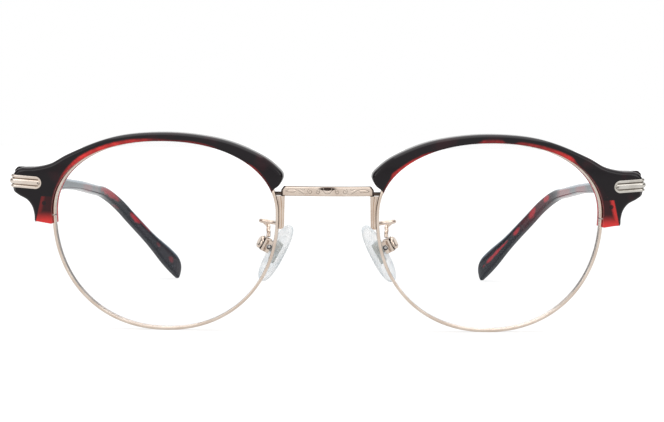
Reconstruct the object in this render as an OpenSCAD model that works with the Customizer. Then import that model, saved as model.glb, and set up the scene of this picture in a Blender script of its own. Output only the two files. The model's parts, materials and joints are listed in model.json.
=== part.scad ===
// Browline glasses: plastic brows over wire rims, a metal bridge, pads and folding temples.
// Millimetres. +X is the wearer's left, the front faces -Y, +Z is up and the table is Z = 0.
// The glasses stand open on the bottoms of the two rims and on the two temple tips.

/* [Lens opening] */
// Opening from the widest line to the temple side
eye_temple = 24.3; // [23:0.1:25.5]
// Opening from the widest line to the nose side
eye_nose = 24.4; // [23.4:0.1:25.4]
// Opening above the widest line
eye_upper = 15.85; // [15:0.05:16.5]
// Opening below the widest line
eye_lower = 25.3; // [23:0.1:27]
// Roundness of the outline, 2 is an ellipse
eye_power = 2.15; // [2.05:0.05:2.3]
// Distance from the middle of the bridge to each lens middle
eye_offset = 35.7; // [34.7:0.1:37]

/* [Front] */
// Radius of the curve that lenses, rims and brows follow
base_curve = 130; // [115:5:150]
// How far each eye turns back at the temple side, in degrees
wrap_angle = 4; // [3:0.5:5]
// How far the front leans forward at the top, in degrees
front_tilt = 4.3; // [3:0.1:6]

/* [Rim] */
// Thickness of the rim wire seen from the front
rim_wall = 0.65; // [0.6:0.05:0.8]
// Depth of the rim wire from front to back
rim_depth = 2; // [1.8:0.1:2.4]
// Depth of the groove that holds the lens edge
rim_groove = 0.35; // [0.3:0.05:0.4]

/* [Lens] */
// Thickness of the lens
lens_thick = 1.9; // [1.5:0.1:2]
// Thickness of the ridge round the lens that sits in the rim groove
lens_ridge = 0.7; // [0.5:0.1:0.8]

/* [Brow] */
// Height of the brow above the opening at its middle
brow_rise = 1.95; // [1.8:0.05:2.4]
// Reach of the brow past the opening on the nose side
brow_nose_reach = 1.6; // [1.4:0.1:1.9]
// Thickness of the brow from front to back
brow_thick = 4; // [3.6:0.1:4.4]
// Distance from the lens middle to the outer end of the brow
end_reach = 34.2; // [33.6:0.1:35]
// Height of the outer end
end_height = 6; // [5.6:0.1:6.4]
// Level of the outer end above the widest line
end_level = 6.4; // [6.1:0.1:6.6]
// Reach of the leg past the opening at the temple side
leg_reach = 4.75; // [4.5:0.05:5]
// How far the leg ends below the widest line
leg_drop = 2.4; // [2.3:0.1:2.6]
// Length of the lug behind the outer end, up to the temple
lug_length = 3.5; // [3.3:0.1:4]

/* [Metal trim] */
// Height of the ribbed plaque
trim_height = 2.8; // [2.4:0.1:3]
// How far the middle rib stands proud
trim_proud = 0.6; // [0.4:0.05:0.8]
// Tilt of the plaque, higher at its outer end, in degrees
trim_lean = 2.5; // [0:0.5:4]

/* [Bridge] */
// Half length of the bridge bar
bridge_half = 10.15; // [9.9:0.05:10.2]
// Height of the bridge bar
bridge_height = 2.15; // [1.9:0.05:2.3]
// Thickness of the bridge bar
bridge_thick = 1.5; // [1.3:0.1:1.8]
// How far the bar bows forward at its middle
bridge_bow = 0.9; // [0.5:0.1:1.5]

/* [Nose pads] */
// Length of a pad
pad_length = 13.8; // [13:0.2:14.4]
// Width of a pad
pad_width = 7.2; // [6.4:0.2:7.6]
// Thickness of a pad
pad_thick = 2.8; // [2.6:0.1:3]
// Lean of the pads, closer together at the top, in degrees
pad_lean = 28.5; // [26:0.5:30]
// Turn of the pads, closer together at the front, in degrees
pad_turn = 18; // [14:1:22]
// Thickness of the pad arm wire
arm_wire = 0.9; // [0.8:0.05:1]

/* [Temples] */
// Length of a temple along its middle line
temple_length = 141; // [138:1:146]
// Length of the straight part, where the downward bend begins
bend_start = 89.5; // [87:0.5:92]
// Downward bend behind the ear, in degrees
temple_bend = 34; // [32:0.5:37]
// Inward bend of the tips, in degrees
tip_inward = 30.5; // [27:0.5:33]
// Inward slant of the straight part, in degrees
temple_toe_in = 1.7; // [1.2:0.1:2.3]
// Height of the temple at the hinge
temple_height = 5.8; // [5.6:0.1:6]
// Thickness of the temple at the hinge
temple_thick = 3.8; // [3.6:0.1:4]
// Height of the temple where it is slimmest
temple_slim = 2.4; // [2.4:0.1:2.8]
// Height of the paddle at the tip
tip_height = 5.3; // [4.6:0.1:5.8]

/* [Hinge] */
// Radius of the hinge barrels
barrel_radius = 1.15; // [1.05:0.05:1.25]
// Radius of the hinge screw
hinge_pin = 0.55; // [0.5:0.05:0.6]
// Gap between the end of the temple and the lug
butt_gap = 0.3; // [0.2:0.05:0.5]
// Gap between neighbouring barrels
barrel_gap = 0.1; // [0.08:0.01:0.15]

/* [Fits] */
// Play round a screw or a rivet
pin_play = 0.05; // [0.04:0.01:0.06]
// Gap between parts that are seated on each other
seat_gap = 0.05; // [0.04:0.01:0.07]
// Gap between metal parts that are brazed together
braze_gap = 0.02; // [0.01:0.01:0.03]

/* [Hidden] */
$fn = 32;
outline_steps = 96;
brow_half = brow_thick / 2;
rim_half = rim_depth / 2;
hinge_inset = 1.35;
leaf_thick = 0.75;
barrel_height = 1.3;

// Height of the lens middles, so that the bottoms of the rims touch the table
rim_drop = eye_lower + rim_wall;
eye_height = rim_drop * cos(front_tilt) - (sag(rim_drop) - rim_half) * sin(front_tilt);

// Middle of the joint face between the lug and the temple
hinge_x = eye_offset + end_reach * cos(wrap_angle) - temple_thick / 2 - 0.6;
hinge_y = end_reach * sin(wrap_angle) + sag(end_reach) + brow_half - 0.46 + lug_length;
hinge_z = eye_height + end_level * cos(front_tilt) + 0.45;

// Middle line of the temple behind its straight part is traced in equal steps
tail_start = bend_start - 6;
tail_steps = 20;
tail_step = (temple_length - tail_start) / tail_steps;

// Slope of the temples, so that the tips touch the table
tip_path = temple_path();
tip_end = tip_path[len(tip_path) - 1];
tip_back = tip_end[0] * sin(temple_toe_in) + tip_end[1] * cos(temple_toe_in);
tip_span = norm([tip_back, tip_end[2]]);
tip_foot = 1.65;
temple_slope = asin((hinge_z - tip_foot) / tip_span) - atan2(-tip_end[2], tip_back);

// The depth of the whole object, to put its middle at Y = 0
front_most = -2.5;
back_most = hinge_y + tip_back * cos(temple_slope) + tip_end[2] * sin(temple_slope) + 0.3;
depth_shift = -(front_most + back_most) / 2;

// Pads in the frame of the front
pad_x = 11.6;
pad_y = 6.4;
pad_z = -9.6;
box_x = 2.6;
box_z = 1.1;

// shared functions

// How far the base curve lies back at a distance r from the lens middle
function sag(r) = base_curve - sqrt(base_curve * base_curve - r * r);

function signed_power(v, p) = sign(v) * pow(abs(v), p);

// A point of the lens outline, grown to the temple side, nose side, top and bottom
function eye_point(a, grow) = [
    (cos(a) >= 0 ? eye_temple + grow[0] : eye_nose + grow[1]) * signed_power(cos(a), 2 / eye_power),
    (sin(a) >= 0 ? eye_upper + grow[2] : eye_lower + grow[3]) * signed_power(sin(a), 2 / eye_power)];

// A smooth curve through points a, b, c and d, between b and c
function curve_at(a, b, c, d, t) = 0.5 * ((2 * b) + (c - a) * t
    + (2 * a - 5 * b + 4 * c - d) * t * t + (3 * b - a - 3 * c + d) * t * t * t);

// A smooth curve through all points, with n steps from each point to the next
function smooth_line(p, n) = let (last = len(p) - 1) concat(
    [for (i = [0:last - 1], k = [0:n - 1])
        curve_at(p[max(i - 1, 0)], p[i], p[i + 1], p[min(i + 2, last)], k / n)], [p[last]]);

// Heading of the temple at a distance s from the hinge, as inward and downward angles
function part_way(s, start, length) = min(max((s - start) / length, 0), 1);
function inward_at(s) = tip_inward * part_way(s, bend_start - 5, 30);
function downward_at(s) = temple_bend * part_way(s, bend_start, 20);
function heading(s) = [-sin(inward_at(s)) * cos(downward_at(s)),
    cos(inward_at(s)) * cos(downward_at(s)), -sin(downward_at(s))];

// Middle line of the temple behind its straight part
function trace(n) = n == 0 ? [[0, tail_start, 0]] : let (before = trace(n - 1))
    concat(before, [before[n - 1] + tail_step * heading(tail_start + (n - 0.5) * tail_step)]);
function temple_path() = trace(tail_steps);

// shared shapes

// A flat outline in X and Z, carried right through the front
module through_front(points) {
    translate([0, 30, 0])
        rotate([90, 0, 0])
            linear_extrude(height = 60)
                polygon(points);
}

module eye_prism(grow) {
    through_front([for (i = [0:outline_steps - 1]) eye_point(i * 360 / outline_steps, grow)]);
}

module even_prism(grow) {
    eye_prism([grow, grow, grow, grow]);
}

// The ball whose surface is the base curve, larger by the given amount
module base_ball(larger) {
    translate([0, base_curve, 0])
        sphere(r = base_curve + larger, $fn = 180);
}

// The layer between two distances in front of and behind the base curve
module layer(front, back) {
    difference() {
        base_ball(front);
        base_ball(-back);
    }
}

// Stand children on the base curve at X and Z, with Y pointing straight back
module on_curve(x, z) {
    translate([0, base_curve, 0])
        rotate([0, 0, asin(x / base_curve)])
            translate([0, -base_curve, z])
                children();
}

// A solid through a row of rings with the same number of points
module loft(rings) {
    n = len(rings[0]);
    last = len(rings) - 1;
    polyhedron(
        points = [for (ring = rings) for (p = ring) p],
        faces = concat(
            [[for (j = [0:n - 1]) j]],
            [for (i = [0:last - 1], j = [0:n - 1])
                [i * n + j, (i + 1) * n + j, (i + 1) * n + (j + 1) % n]],
            [for (i = [0:last - 1], j = [0:n - 1])
                [i * n + j, (i + 1) * n + (j + 1) % n, i * n + (j + 1) % n]],
            [[for (j = [n - 1:-1:0]) last * n + j]]));
}

// A rod along X, Y or Z between two positions
module rod_x(x0, x1, r) {
    translate([x0, 0, 0])
        rotate([0, 90, 0])
            cylinder(r = r, h = x1 - x0);
}

module rod_y(y0, y1, r) {
    translate([0, y0, 0])
        rotate([-90, 0, 0])
            cylinder(r = r, h = y1 - y0);
}

module rod_z(z0, z1, r) {
    translate([0, 0, z0])
        cylinder(r = r, h = z1 - z0);
}

module block(x0, x1, y0, y1, z0, z1) {
    translate([x0, y0, z0])
        cube([x1 - x0, y1 - y0, z1 - z0]);
}

// places

module front_frame() {
    translate([0, depth_shift, eye_height])
        rotate([front_tilt, 0, 0])
            children();
}

module eye_frame() {
    front_frame()
        translate([eye_offset, 0, 0])
            rotate([0, 0, wrap_angle])
                children();
}

module pad_frame() {
    front_frame()
        translate([pad_x, pad_y, pad_z])
            rotate([0, -pad_lean, 0])
                rotate([0, 0, -pad_turn])
                    children();
}

module hinge_frame() {
    translate([hinge_x, hinge_y + depth_shift, hinge_z])
        rotate([-temple_slope, 0, 0])
            rotate([0, 0, temple_toe_in])
                children();
}

module other_side() {
    mirror([1, 0, 0])
        children();
}

// rims and lenses

closing_level = -0.75;
closing_x = eye_temple + rim_wall + 1.35;
closing_y = sag(closing_x) + 0.4;

module rim() {
    color("burlywood")
        eye_frame()
            difference() {
                intersection() {
                    difference() {
                        even_prism(rim_wall);
                        even_prism(0);
                    }
                    layer(rim_half, rim_half);
                }
                intersection() {
                    even_prism(rim_groove);
                    layer(lens_ridge / 2 + 0.07, lens_ridge / 2 + 0.07);
                }
                block(eye_temple - 3, eye_temple + 3, -3, 8, closing_level - 0.12, closing_level + 0.12);
            }
}

module lens() {
    color("lightcyan", 0.4)
        eye_frame()
            union() {
                intersection() {
                    even_prism(-0.05);
                    layer(lens_thick / 2, lens_thick / 2);
                }
                intersection() {
                    even_prism(rim_groove - seat_gap);
                    layer(lens_ridge / 2, lens_ridge / 2);
                }
            }
}

// closing blocks at the split of each rim

block_outer = closing_x + 1.15;
tab_x = closing_x + 0.3;
tab_z = 1.95;
pocket_front = 0.6;
pocket_edge = eye_temple + rim_wall - 0.1;

module closing_shape(x0, x1, z0, z1, back) {
    intersection() {
        through_front([[x0, z0], [x1, z0], [x1, z1], [x0, z1]]);
        layer(pocket_front - 0.1, back);
    }
}

module closing_bore(z0, z1, r) {
    translate([closing_x, closing_y, 0])
        rod_z(z0, z1, r);
}

module upper_closing_block() {
    color("burlywood")
        eye_frame()
            difference() {
                union() {
                    closing_shape(closing_x - 2.3, block_outer, closing_level + 0.15, 1, 1.3);
                    closing_shape(closing_x - 0.7, block_outer, 0.9, 2.95, 0.3);
                }
                even_prism(rim_wall + braze_gap);
                closing_bore(-2, 0.7, 0.45 + pin_play);
                on_curve(tab_x, tab_z)
                    rod_y(-3, 3, 0.45 + pin_play);
            }
}

module lower_closing_block() {
    color("burlywood")
        eye_frame()
            difference() {
                closing_shape(closing_x - 2.3, block_outer, -2.25, closing_level - 0.15, 1.3);
                even_prism(rim_wall + braze_gap);
                closing_bore(-4, 0, 0.45 + pin_play);
            }
}

module closing_screw() {
    color("silver")
        eye_frame()
            translate([closing_x, closing_y, 0])
                difference() {
                    union() {
                        rod_z(-2.4, 0.6, 0.45);
                        rod_z(-2.7, -2.3, 0.75);
                    }
                    block(-1, 1, -0.1, 0.1, -3, -2.55);
                }
}

module brow_screw() {
    color("silver")
        eye_frame()
            on_curve(tab_x, tab_z)
                difference() {
                    union() {
                        rod_y(-1.45, 0.4, 0.45);
                        rod_y(0.34, 0.8, 0.75);
                    }
                    block(-1, 1, 0.6, 1, -0.1, 0.1);
                }
}

// brows

nose_corner = -(eye_nose + brow_nose_reach);
brow_top = eye_upper + brow_rise;
end_top = end_level + end_height / 2;
end_bottom = end_level - end_height / 2;
leg_edge = eye_temple + leg_reach;

// The outer edge, from the nose end over the top to the foot of the leg
function brow_edge() = [
    [nose_corner + 1.9, end_level - 0.75], [nose_corner + 0.85, end_level + 0.1],
    [nose_corner + 0.03, end_level + 1.9], [nose_corner + 0.85, end_level + 3.55],
    [0.826 * nose_corner, 0.722 * brow_top], [0.572 * nose_corner, 0.886 * brow_top],
    [0.31 * nose_corner, 0.969 * brow_top], [-0.7, brow_top],
    [0.219 * end_reach, 0.972 * brow_top], [0.412 * end_reach, 0.884 * brow_top],
    [0.62 * end_reach, 0.717 * brow_top], [0.735 * end_reach, end_top + 1.22],
    [0.84 * end_reach, end_top + 0.3], [end_reach - 2, end_top],
    [end_reach - 0.4, end_top - 1.1], [end_reach, end_level],
    [end_reach - 0.2, end_bottom + 1], [end_reach - 1.5, end_bottom - 0.05],
    [end_reach - 3.5, end_bottom - 1.05], [leg_edge + 0.45, end_bottom - 2.6],
    [leg_edge, -0.45 * leg_drop]];

brow_shape = concat(smooth_line(brow_edge(), 5),
    [[leg_edge - 0.05, -leg_drop + 0.35], [leg_edge - 0.4, -leg_drop],
        [eye_temple - 2.3, -leg_drop - 0.2], [nose_corner + 3.9, end_level - 3.1]]);

// The rounded line that the plaque follows round the outer end, seen from above
trim_ball = sqrt(pow(base_curve + brow_half, 2) - end_level * end_level);
trim_corner = 1.3;
trim_start = end_reach - 7.05;
trim_slot = trim_height / 2 + seat_gap;
trim_back = sag(end_reach) + brow_half - 0.45;
corner_x = end_reach - trim_corner;
corner_y = base_curve - sqrt(pow(trim_ball - trim_corner, 2) - corner_x * corner_x);
corner_turn = asin(corner_x / (trim_ball - trim_corner));
start_turn = asin(trim_start / trim_ball);

function trim_line(out, more) = concat(
    [for (i = [0:5]) let (a = start_turn - (more ? 0.3 : 0) + (corner_turn - start_turn) * i / 5)
        [(trim_ball + out) * sin(a), base_curve - (trim_ball + out) * cos(a)]],
    [for (i = [1:6]) let (a = corner_turn + (90 - corner_turn) * i / 6)
        [corner_x + (trim_corner + out) * sin(a), corner_y - (trim_corner + out) * cos(a)]],
    [[end_reach + out, trim_back + (more ? seat_gap : 0)]]);

function reversed(p) = [for (i = [len(p) - 1:-1:0]) p[i]];

module trim_layer(inner, outer, low, high, more) {
    translate([0, 0, end_level + low])
        linear_extrude(height = high - low)
            polygon(concat(trim_line(outer, more), reversed(trim_line(inner, more))));
}

// A long shape with one round end, seen from the front
module trim_outline(half) {
    translate([trim_start + trim_height / 2, 0, end_level])
        union() {
            rod_y(-10, 20, half);
            block(0, 15, -10, 20, -half, half);
        }
}

module tilt_trim() {
    translate([end_reach - 3.5, 0, end_level])
        rotate([0, -trim_lean, 0])
            translate([3.5 - end_reach, 0, -end_level])
                children();
}

module lug() {
    w = temple_thick / 2;
    h = temple_height / 2;
    translate([0, -butt_gap / 2, 0])
        rotate([90, 0, 0])
            linear_extrude(height = 8)
                polygon(temple_section(w, h, temple_cut));
}

module brow() {
    color([0.12, 0.02, 0.03])
        difference() {
            union() {
                eye_frame()
                    intersection() {
                        through_front(brow_shape);
                        layer(brow_half, brow_half);
                    }
                intersection() {
                    hinge_frame()
                        lug();
                    eye_frame()
                        base_ball(brow_half - 0.8);
                }
            }
            eye_frame()
                union() {
                    // room for the rim
                    intersection() {
                        even_prism(rim_wall + seat_gap);
                        layer(rim_half + seat_gap, rim_half + seat_gap);
                    }
                    // the opening, with a lip behind the rim and the rim left in sight in front
                    eye_prism([-0.1, 0, 0, 0]);
                    difference() {
                        eye_prism([rim_wall - 0.1, 0.1, 0.1, 0.1]);
                        base_ball(0);
                    }
                    // pocket behind the leg for the closing blocks
                    intersection() {
                        through_front([[pocket_edge, 3.4], [block_outer + 0.3, 3.4],
                            [leg_edge - 0.6, -leg_drop - 1], [pocket_edge, -leg_drop - 1]]);
                        base_ball(pocket_front);
                    }
                    on_curve(tab_x, tab_z)
                        rod_y(-1.5, 1, 0.45 + pin_play);
                    // slot for the plaque
                    tilt_trim()
                        intersection() {
                            trim_layer(-0.95, 5, -trim_slot, trim_slot, true);
                            trim_outline(trim_slot);
                        }
                    // bevel of the outer corner
                    translate([0, 0, end_level - 5])
                        linear_extrude(height = 10)
                            polygon([[end_reach - 1.3, sag(end_reach) - brow_half - 0.7],
                                [end_reach + 1.4, sag(end_reach) - brow_half - 0.7],
                                [end_reach + 1.4, sag(end_reach) - brow_half + 3]]);
                }
            hinge_frame()
                front_rivet_places()
                    rod_x(-0.1, 1.7 + pin_play, 0.45 + pin_play);
        }
}

module end_trim() {
    rib = trim_height / 2;
    color("tan")
        eye_frame()
            tilt_trim()
                intersection() {
                    union() {
                        trim_layer(-0.9, 0.12, -rib, rib, false);
                        trim_layer(-0.5, trim_proud, -0.21 * trim_height, 0.21 * trim_height, false);
                        trim_layer(-0.5, 0.55 * trim_proud, 0.27 * trim_height, rib, false);
                        trim_layer(-0.5, 0.55 * trim_proud, -rib, -0.27 * trim_height, false);
                    }
                    trim_outline(rib);
                }
}

// bridge, nasal plates, pad arms

bridge_level = 5.22;
bridge_radius = (bridge_half * bridge_half + bridge_bow * bridge_bow) / (2 * bridge_bow);
plate_top = bridge_level - bridge_height / 2 - braze_gap;
plate_back = 1.65;
// Level line of the nasal plates, just inside the rims
plate_x = eye_offset - eye_nose - rim_wall - 0.5;

module bridge() {
    h = bridge_height / 2;
    w = bridge_thick / 2;
    span = 2 * asin(bridge_half / bridge_radius) + 2;
    color("burlywood")
        front_frame()
            intersection() {
                translate([0, bridge_radius - 0.3, bridge_level])
                    rotate([0, 0, 270 - span / 2])
                        rotate_extrude(angle = span, $fn = 180)
                            translate([bridge_radius, 0])
                                polygon([[w, 0.3 - h], [w, h - 0.3], [w - 0.3, h], [0.3 - w, h],
                                    [-w, h - 0.3], [-w, 0.3 - h], [0.3 - w, -h], [w - 0.3, -h]]);
                through_front([[-bridge_half, 2], [bridge_half, 2],
                    [bridge_half, bridge_level + 0.2], [bridge_half - 0.6, bridge_level + h + 0.05],
                    [bridge_half - 0.6, bridge_level + 3], [0.6 - bridge_half, bridge_level + 3],
                    [0.6 - bridge_half, bridge_level + h + 0.05], [-bridge_half, bridge_level + 0.2]]);
            }
}

module nasal_plate() {
    color("burlywood")
        difference() {
            front_frame()
                intersection() {
                    through_front([[plate_x - 0.85, plate_top], [plate_x - 0.7, -2],
                        [plate_x - 0.05, -2.7], [plate_x + 1.8, -2.7],
                        [plate_x + 1.8, plate_top]]);
                    block(0, 20, -0.15, plate_back, -10, 10);
                }
            eye_frame()
                even_prism(rim_wall + braze_gap);
        }
}

// Middle line of the pad arm, from the nasal plate round the loop to the pad box
arm_points = [[plate_x + 0.15, plate_back + 0.03, -2], [plate_x + 0.5, 3, -1.95],
    [plate_x + 1.7, 4.5, -1.95], [plate_x + 3.2, 5.3, -1.95], [plate_x + 4.3, 6, -2],
    [plate_x + 4.65, 7, -2.1], [plate_x + 3.95, 8, -2.5], [plate_x + 3, 7.9, -3.3],
    [plate_x + 3, 6.8, -4], [plate_x + 2.85, 5.75, -4.65], box_top([box_x + 0.8, 0, box_z + 1.8])];

// A point of the pad frame given in the frame of the front
function box_top(p) = let (
    x = p[0] * cos(pad_turn) + p[1] * sin(pad_turn),
    y = -p[0] * sin(pad_turn) + p[1] * cos(pad_turn))
    [pad_x + x * cos(pad_lean) - p[2] * sin(pad_lean), pad_y + y,
        pad_z + x * sin(pad_lean) + p[2] * cos(pad_lean)];

arm_line = smooth_line(arm_points, 4);

function unit(v) = v / norm(v);
function line_way(p, i) = unit(p[min(i + 1, len(p) - 1)] - p[max(i - 1, 0)]);

// Sideways directions along a line, turned as little as possible from step to step
function side_ways(p, i) = i == 0 ? [unit(cross(line_way(p, 0), [0, 0, 1]))]
    : let (before = side_ways(p, i - 1), way = line_way(p, i), old = before[i - 1])
        concat(before, [unit(old - (old * way) * way)]);

module wire(p, r) {
    sides = side_ways(p, len(p) - 1);
    loft([for (i = [0:len(p) - 1]) let (s = sides[i], u = cross(s, line_way(p, i)))
        [for (k = [0:9]) p[i] + r * (cos(k * 36) * s + sin(k * 36) * u)]]);
}

module pad_arm() {
    color("burlywood")
        front_frame()
            wire(arm_line, arm_wire / 2);
}

// pads

module pad_box() {
    color("burlywood")
        pad_frame()
            translate([box_x, 0, box_z])
                difference() {
                    union() {
                        block(-0.6, 1.1, -1.25, 1.25, -1.5, 1.5);
                        translate([1, 0, 0])
                            rotate([0, 90, 0])
                                rotate_extrude()
                                    polygon([[0, 0], [1.2, 0], [1.2, 0.2], [1.45, 0.3],
                                        [1.4, 0.6], [1.1, 0.95], [0.6, 1.12], [0, 1.15]]);
                    }
                    block(-2, 0.75, -0.55, 0.55, -2, 2);
                    rod_y(-3, 3, 0.4 + pin_play);
                }
}

module pad_screw() {
    color("silver")
        pad_frame()
            translate([box_x, 0, box_z])
                difference() {
                    union() {
                        rod_y(-1.3, 1.2, 0.4);
                        rod_y(-1.6, -1.28, 0.62);
                    }
                    block(-1, 1, -2, -1.45, -0.08, 0.08);
                }
}

// Half sizes of the pad at u from -1 at its foot to 1 at its top
function pad_round(u) = sqrt(max(1 - pow(abs(u), 2.4), 0.004));

module nose_pad() {
    color("white", 0.6)
        pad_frame()
            difference() {
                loft([for (i = [-8:8]) let (
                    u = sin(i * 90 / 8),
                    w = pad_width / 2 * pad_round(u) * (1 - 0.1 * u),
                    t = pad_thick / 2 * pow(pad_round(u), 0.8))
                    [for (k = [0:15]) [t * cos(k * 22.5), w * sin(k * 22.5), u * pad_length / 2]]]);
                insert_shape(0.03);
            }
}

module insert_shape(more) {
    block(-0.1 - more, 0.5 + more, -1.6 - more, 1.6 + more, box_z / 2 - 2.4 - more, box_z / 2 + 2.4 + more);
    block(0.4, box_x - 0.5, -0.45 - more, 0.45 + more, box_z - 1 - more, box_z + 1 + more);
}

module pad_insert() {
    color("gray")
        pad_frame()
            difference() {
                union() {
                    insert_shape(0);
                    translate([box_x, 0, box_z])
                        intersection() {
                            union() {
                                rod_y(-0.45, 0.45, 0.7);
                                block(-0.7, 0, -0.45, 0.45, -0.7, 0.7);
                            }
                            block(-2, 1, -0.45, 0.45, -2, 2);
                        }
                }
                translate([box_x, 0, box_z])
                    rod_y(-3, 3, 0.4 + pin_play);
            }
}

// hinges

axis_x = -temple_thick / 2 - hinge_inset;
leaf_face = -temple_thick / 2 - braze_gap;
stack_half = 1.5 * barrel_height + barrel_gap;

// The level of each barrel, -1 for the lowest and 1 for the highest
function barrel_low(k) = k * (barrel_height + barrel_gap) - barrel_height / 2;

module at_axis() {
    translate([axis_x, 0, 0])
        children();
}

// One barrel with its web to the leaf, behind (way 1) or in front of (way -1) the axis
module barrel(k, way) {
    low = barrel_low(k);
    high = low + barrel_height;
    at_axis()
        union() {
            rod_z(low, high, barrel_radius);
            block(0, leaf_face - axis_x, way > 0 ? 0 : -1.9, way > 0 ? 1.9 : 0, low, high);
        }
}

module front_rivet_places() {
    for (z = [-1.45, 1.45])
        translate([leaf_face, -2.75, z])
            children();
}

module temple_rivet_places() {
    for (y = [4, 7.6])
        translate([leaf_face, y, 0])
            children();
}

module front_hinge() {
    color("silver")
        hinge_frame()
            difference() {
                union() {
                    barrel(-1, -1);
                    barrel(1, -1);
                    block(leaf_face - leaf_thick, leaf_face, -3.5, -1.6, -2.3, 2.3);
                }
                at_axis()
                    rod_z(-5, 5, hinge_pin + pin_play);
                front_rivet_places()
                    rod_x(-2, 2, 0.45 + pin_play);
            }
}

module temple_hinge() {
    color("silver")
        hinge_frame()
            difference() {
                union() {
                    barrel(0, 1);
                    block(leaf_face - leaf_thick, leaf_face, 1.5, 9.2, -1.7, 1.7);
                }
                at_axis()
                    rod_z(-5, 5, hinge_pin + pin_play);
                temple_rivet_places()
                    rod_x(-2, 2, 0.45 + pin_play);
            }
}

module rivet() {
    rod_x(-leaf_thick - 0.1, 1.6, 0.45);
    rod_x(-leaf_thick - 0.3, -leaf_thick - braze_gap, 0.7);
}

module front_rivets() {
    color("silver")
        hinge_frame()
            front_rivet_places()
                rivet();
}

module temple_rivets() {
    color("silver")
        hinge_frame()
            temple_rivet_places()
                rivet();
}

module hinge_screw() {
    color("silver")
        hinge_frame()
            at_axis()
                difference() {
                    union() {
                        rod_z(-stack_half - 0.1, stack_half + 0.1, hinge_pin);
                        rod_z(stack_half + 0.04, stack_half + 0.45, 0.95);
                    }
                    block(-2, 2, -0.12, 0.12, stack_half + 0.25, 5);
                }
}

// temples

// Eight-sided section with half width w, half height h and cut corners c
function temple_section(w, h, c) = [[w, c - h], [w, h - c], [w - c, h], [c - w, h],
    [-w, h - c], [-w, c - h], [c - w, -h], [w - c, -h]];

// Half height, half width and rise of the middle along the temple, straight along its top edge
temple_cut = 0.8;
taper_start = 12;
taper_middle = 40;
taper_end = 60;
slim_half = temple_slim / 2;
paddle_start = temple_length - 18;
paddle_end = temple_length - 10;
function half_height(s) = lookup(s, [[0, temple_height / 2],
    [taper_start, temple_height / 2 - 0.2], [taper_middle, slim_half + 0.1],
    [taper_end, slim_half], [bend_start, slim_half + 0.1], [bend_start + 13, slim_half + 0.17],
    [paddle_start - 6, slim_half + 0.35], [paddle_start, slim_half + 0.4],
    [paddle_start + 4, (temple_slim + tip_height) / 4 + 0.25], [paddle_end, tip_height / 2]]);
function half_width(s) = lookup(s, [[taper_start, temple_thick / 2],
    [taper_end, temple_thick / 2 - 0.45], [bend_start + 23, temple_thick / 2 - 0.7]]);
function rise(s) = lookup(s, [[0, 0], [taper_start, 0.1], [taper_middle, 0.45], [taper_end, 0.7],
    [bend_start, 0.15], [paddle_start, 0], [paddle_end, 0.6]])
    - (1 - tip_round(s)) * half_height(s);

// Rounding of the last few millimetres of the tip
function tip_round(s) = sqrt(max(1 - pow(part_way(s, temple_length - 6, 6.2), 2.5), 0.06));

function temple_ring(centre, s) = let (
    out = [cos(inward_at(s)), sin(inward_at(s)), 0],
    up = cross(out, heading(s)),
    h = half_height(s) * tip_round(s),
    w = half_width(s) * (0.4 + 0.6 * tip_round(s)))
    [for (p = temple_section(w, h, min(0.45 * h, 0.45 * w, 0.8)))
        centre + p[0] * out + (p[1] + rise(s)) * up];

module temple_body() {
    w = temple_thick / 2;
    h = temple_height / 2;
    fine = [0.35, 0.7, 0.9];
    tail = [for (i = [0:tail_steps - 1]) temple_ring(tip_path[i], tail_start + i * tail_step)];
    tip = [for (f = fine) temple_ring(tip_path[tail_steps - 1]
        + f * (tip_path[tail_steps] - tip_path[tail_steps - 1]), temple_length - (1 - f) * tail_step)];
    front = concat([[for (p = temple_section(w, h, temple_cut)) [p[0], butt_gap / 2, p[1]]]],
        [for (s = [taper_start, taper_middle, taper_end]) temple_ring([0, s, 0], s)]);
    loft(concat(front, tail, tip, [temple_ring(tip_path[tail_steps], temple_length)]));
}

module temple() {
    color([0.12, 0.02, 0.03])
        hinge_frame()
            difference() {
                temple_body();
                translate([0, 0, core_level])
                    rod_y(10, tail_start - 2, core_radius + pin_play);
                temple_rivet_places()
                    rod_x(-0.1, 1.7 + pin_play, 0.45 + pin_play);
            }
}

core_level = 0.45;
core_radius = 0.5;

module core_wire() {
    color("silver")
        hinge_frame()
            translate([0, 0, core_level])
                rod_y(10.2, tail_start - 2.2, core_radius);
}

// assembly

rim();  // left_rim
other_side() rim();  // right_rim
lens();  // left_lens
other_side() lens();  // right_lens
brow();  // left_brow
other_side() brow();  // right_brow
end_trim();  // left_end_trim
other_side() end_trim();  // right_end_trim
bridge();
nasal_plate();  // left_nasal_plate
other_side() nasal_plate();  // right_nasal_plate
pad_arm();  // left_pad_arm
other_side() pad_arm();  // right_pad_arm
pad_box();  // left_pad_box
other_side() pad_box();  // right_pad_box
pad_screw();  // left_pad_screw
other_side() pad_screw();  // right_pad_screw
nose_pad();  // left_nose_pad
other_side() nose_pad();  // right_nose_pad
pad_insert();  // left_pad_insert
other_side() pad_insert();  // right_pad_insert
upper_closing_block();  // left_upper_closing_block
other_side() upper_closing_block();  // right_upper_closing_block
lower_closing_block();  // left_lower_closing_block
other_side() lower_closing_block();  // right_lower_closing_block
closing_screw();  // left_closing_screw
other_side() closing_screw();  // right_closing_screw
brow_screw();  // left_brow_screw
other_side() brow_screw();  // right_brow_screw
front_hinge();  // left_front_hinge
other_side() front_hinge();  // right_front_hinge
front_rivets();  // left_front_rivets
other_side() front_rivets();  // right_front_rivets
temple_hinge();  // left_temple_hinge
other_side() temple_hinge();  // right_temple_hinge
temple_rivets();  // left_temple_rivets
other_side() temple_rivets();  // right_temple_rivets
hinge_screw();  // left_hinge_screw
other_side() hinge_screw();  // right_hinge_screw
temple();  // left_temple
other_side() temple();  // right_temple
core_wire();  // left_core_wire
other_side() core_wire();  // right_core_wire
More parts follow.
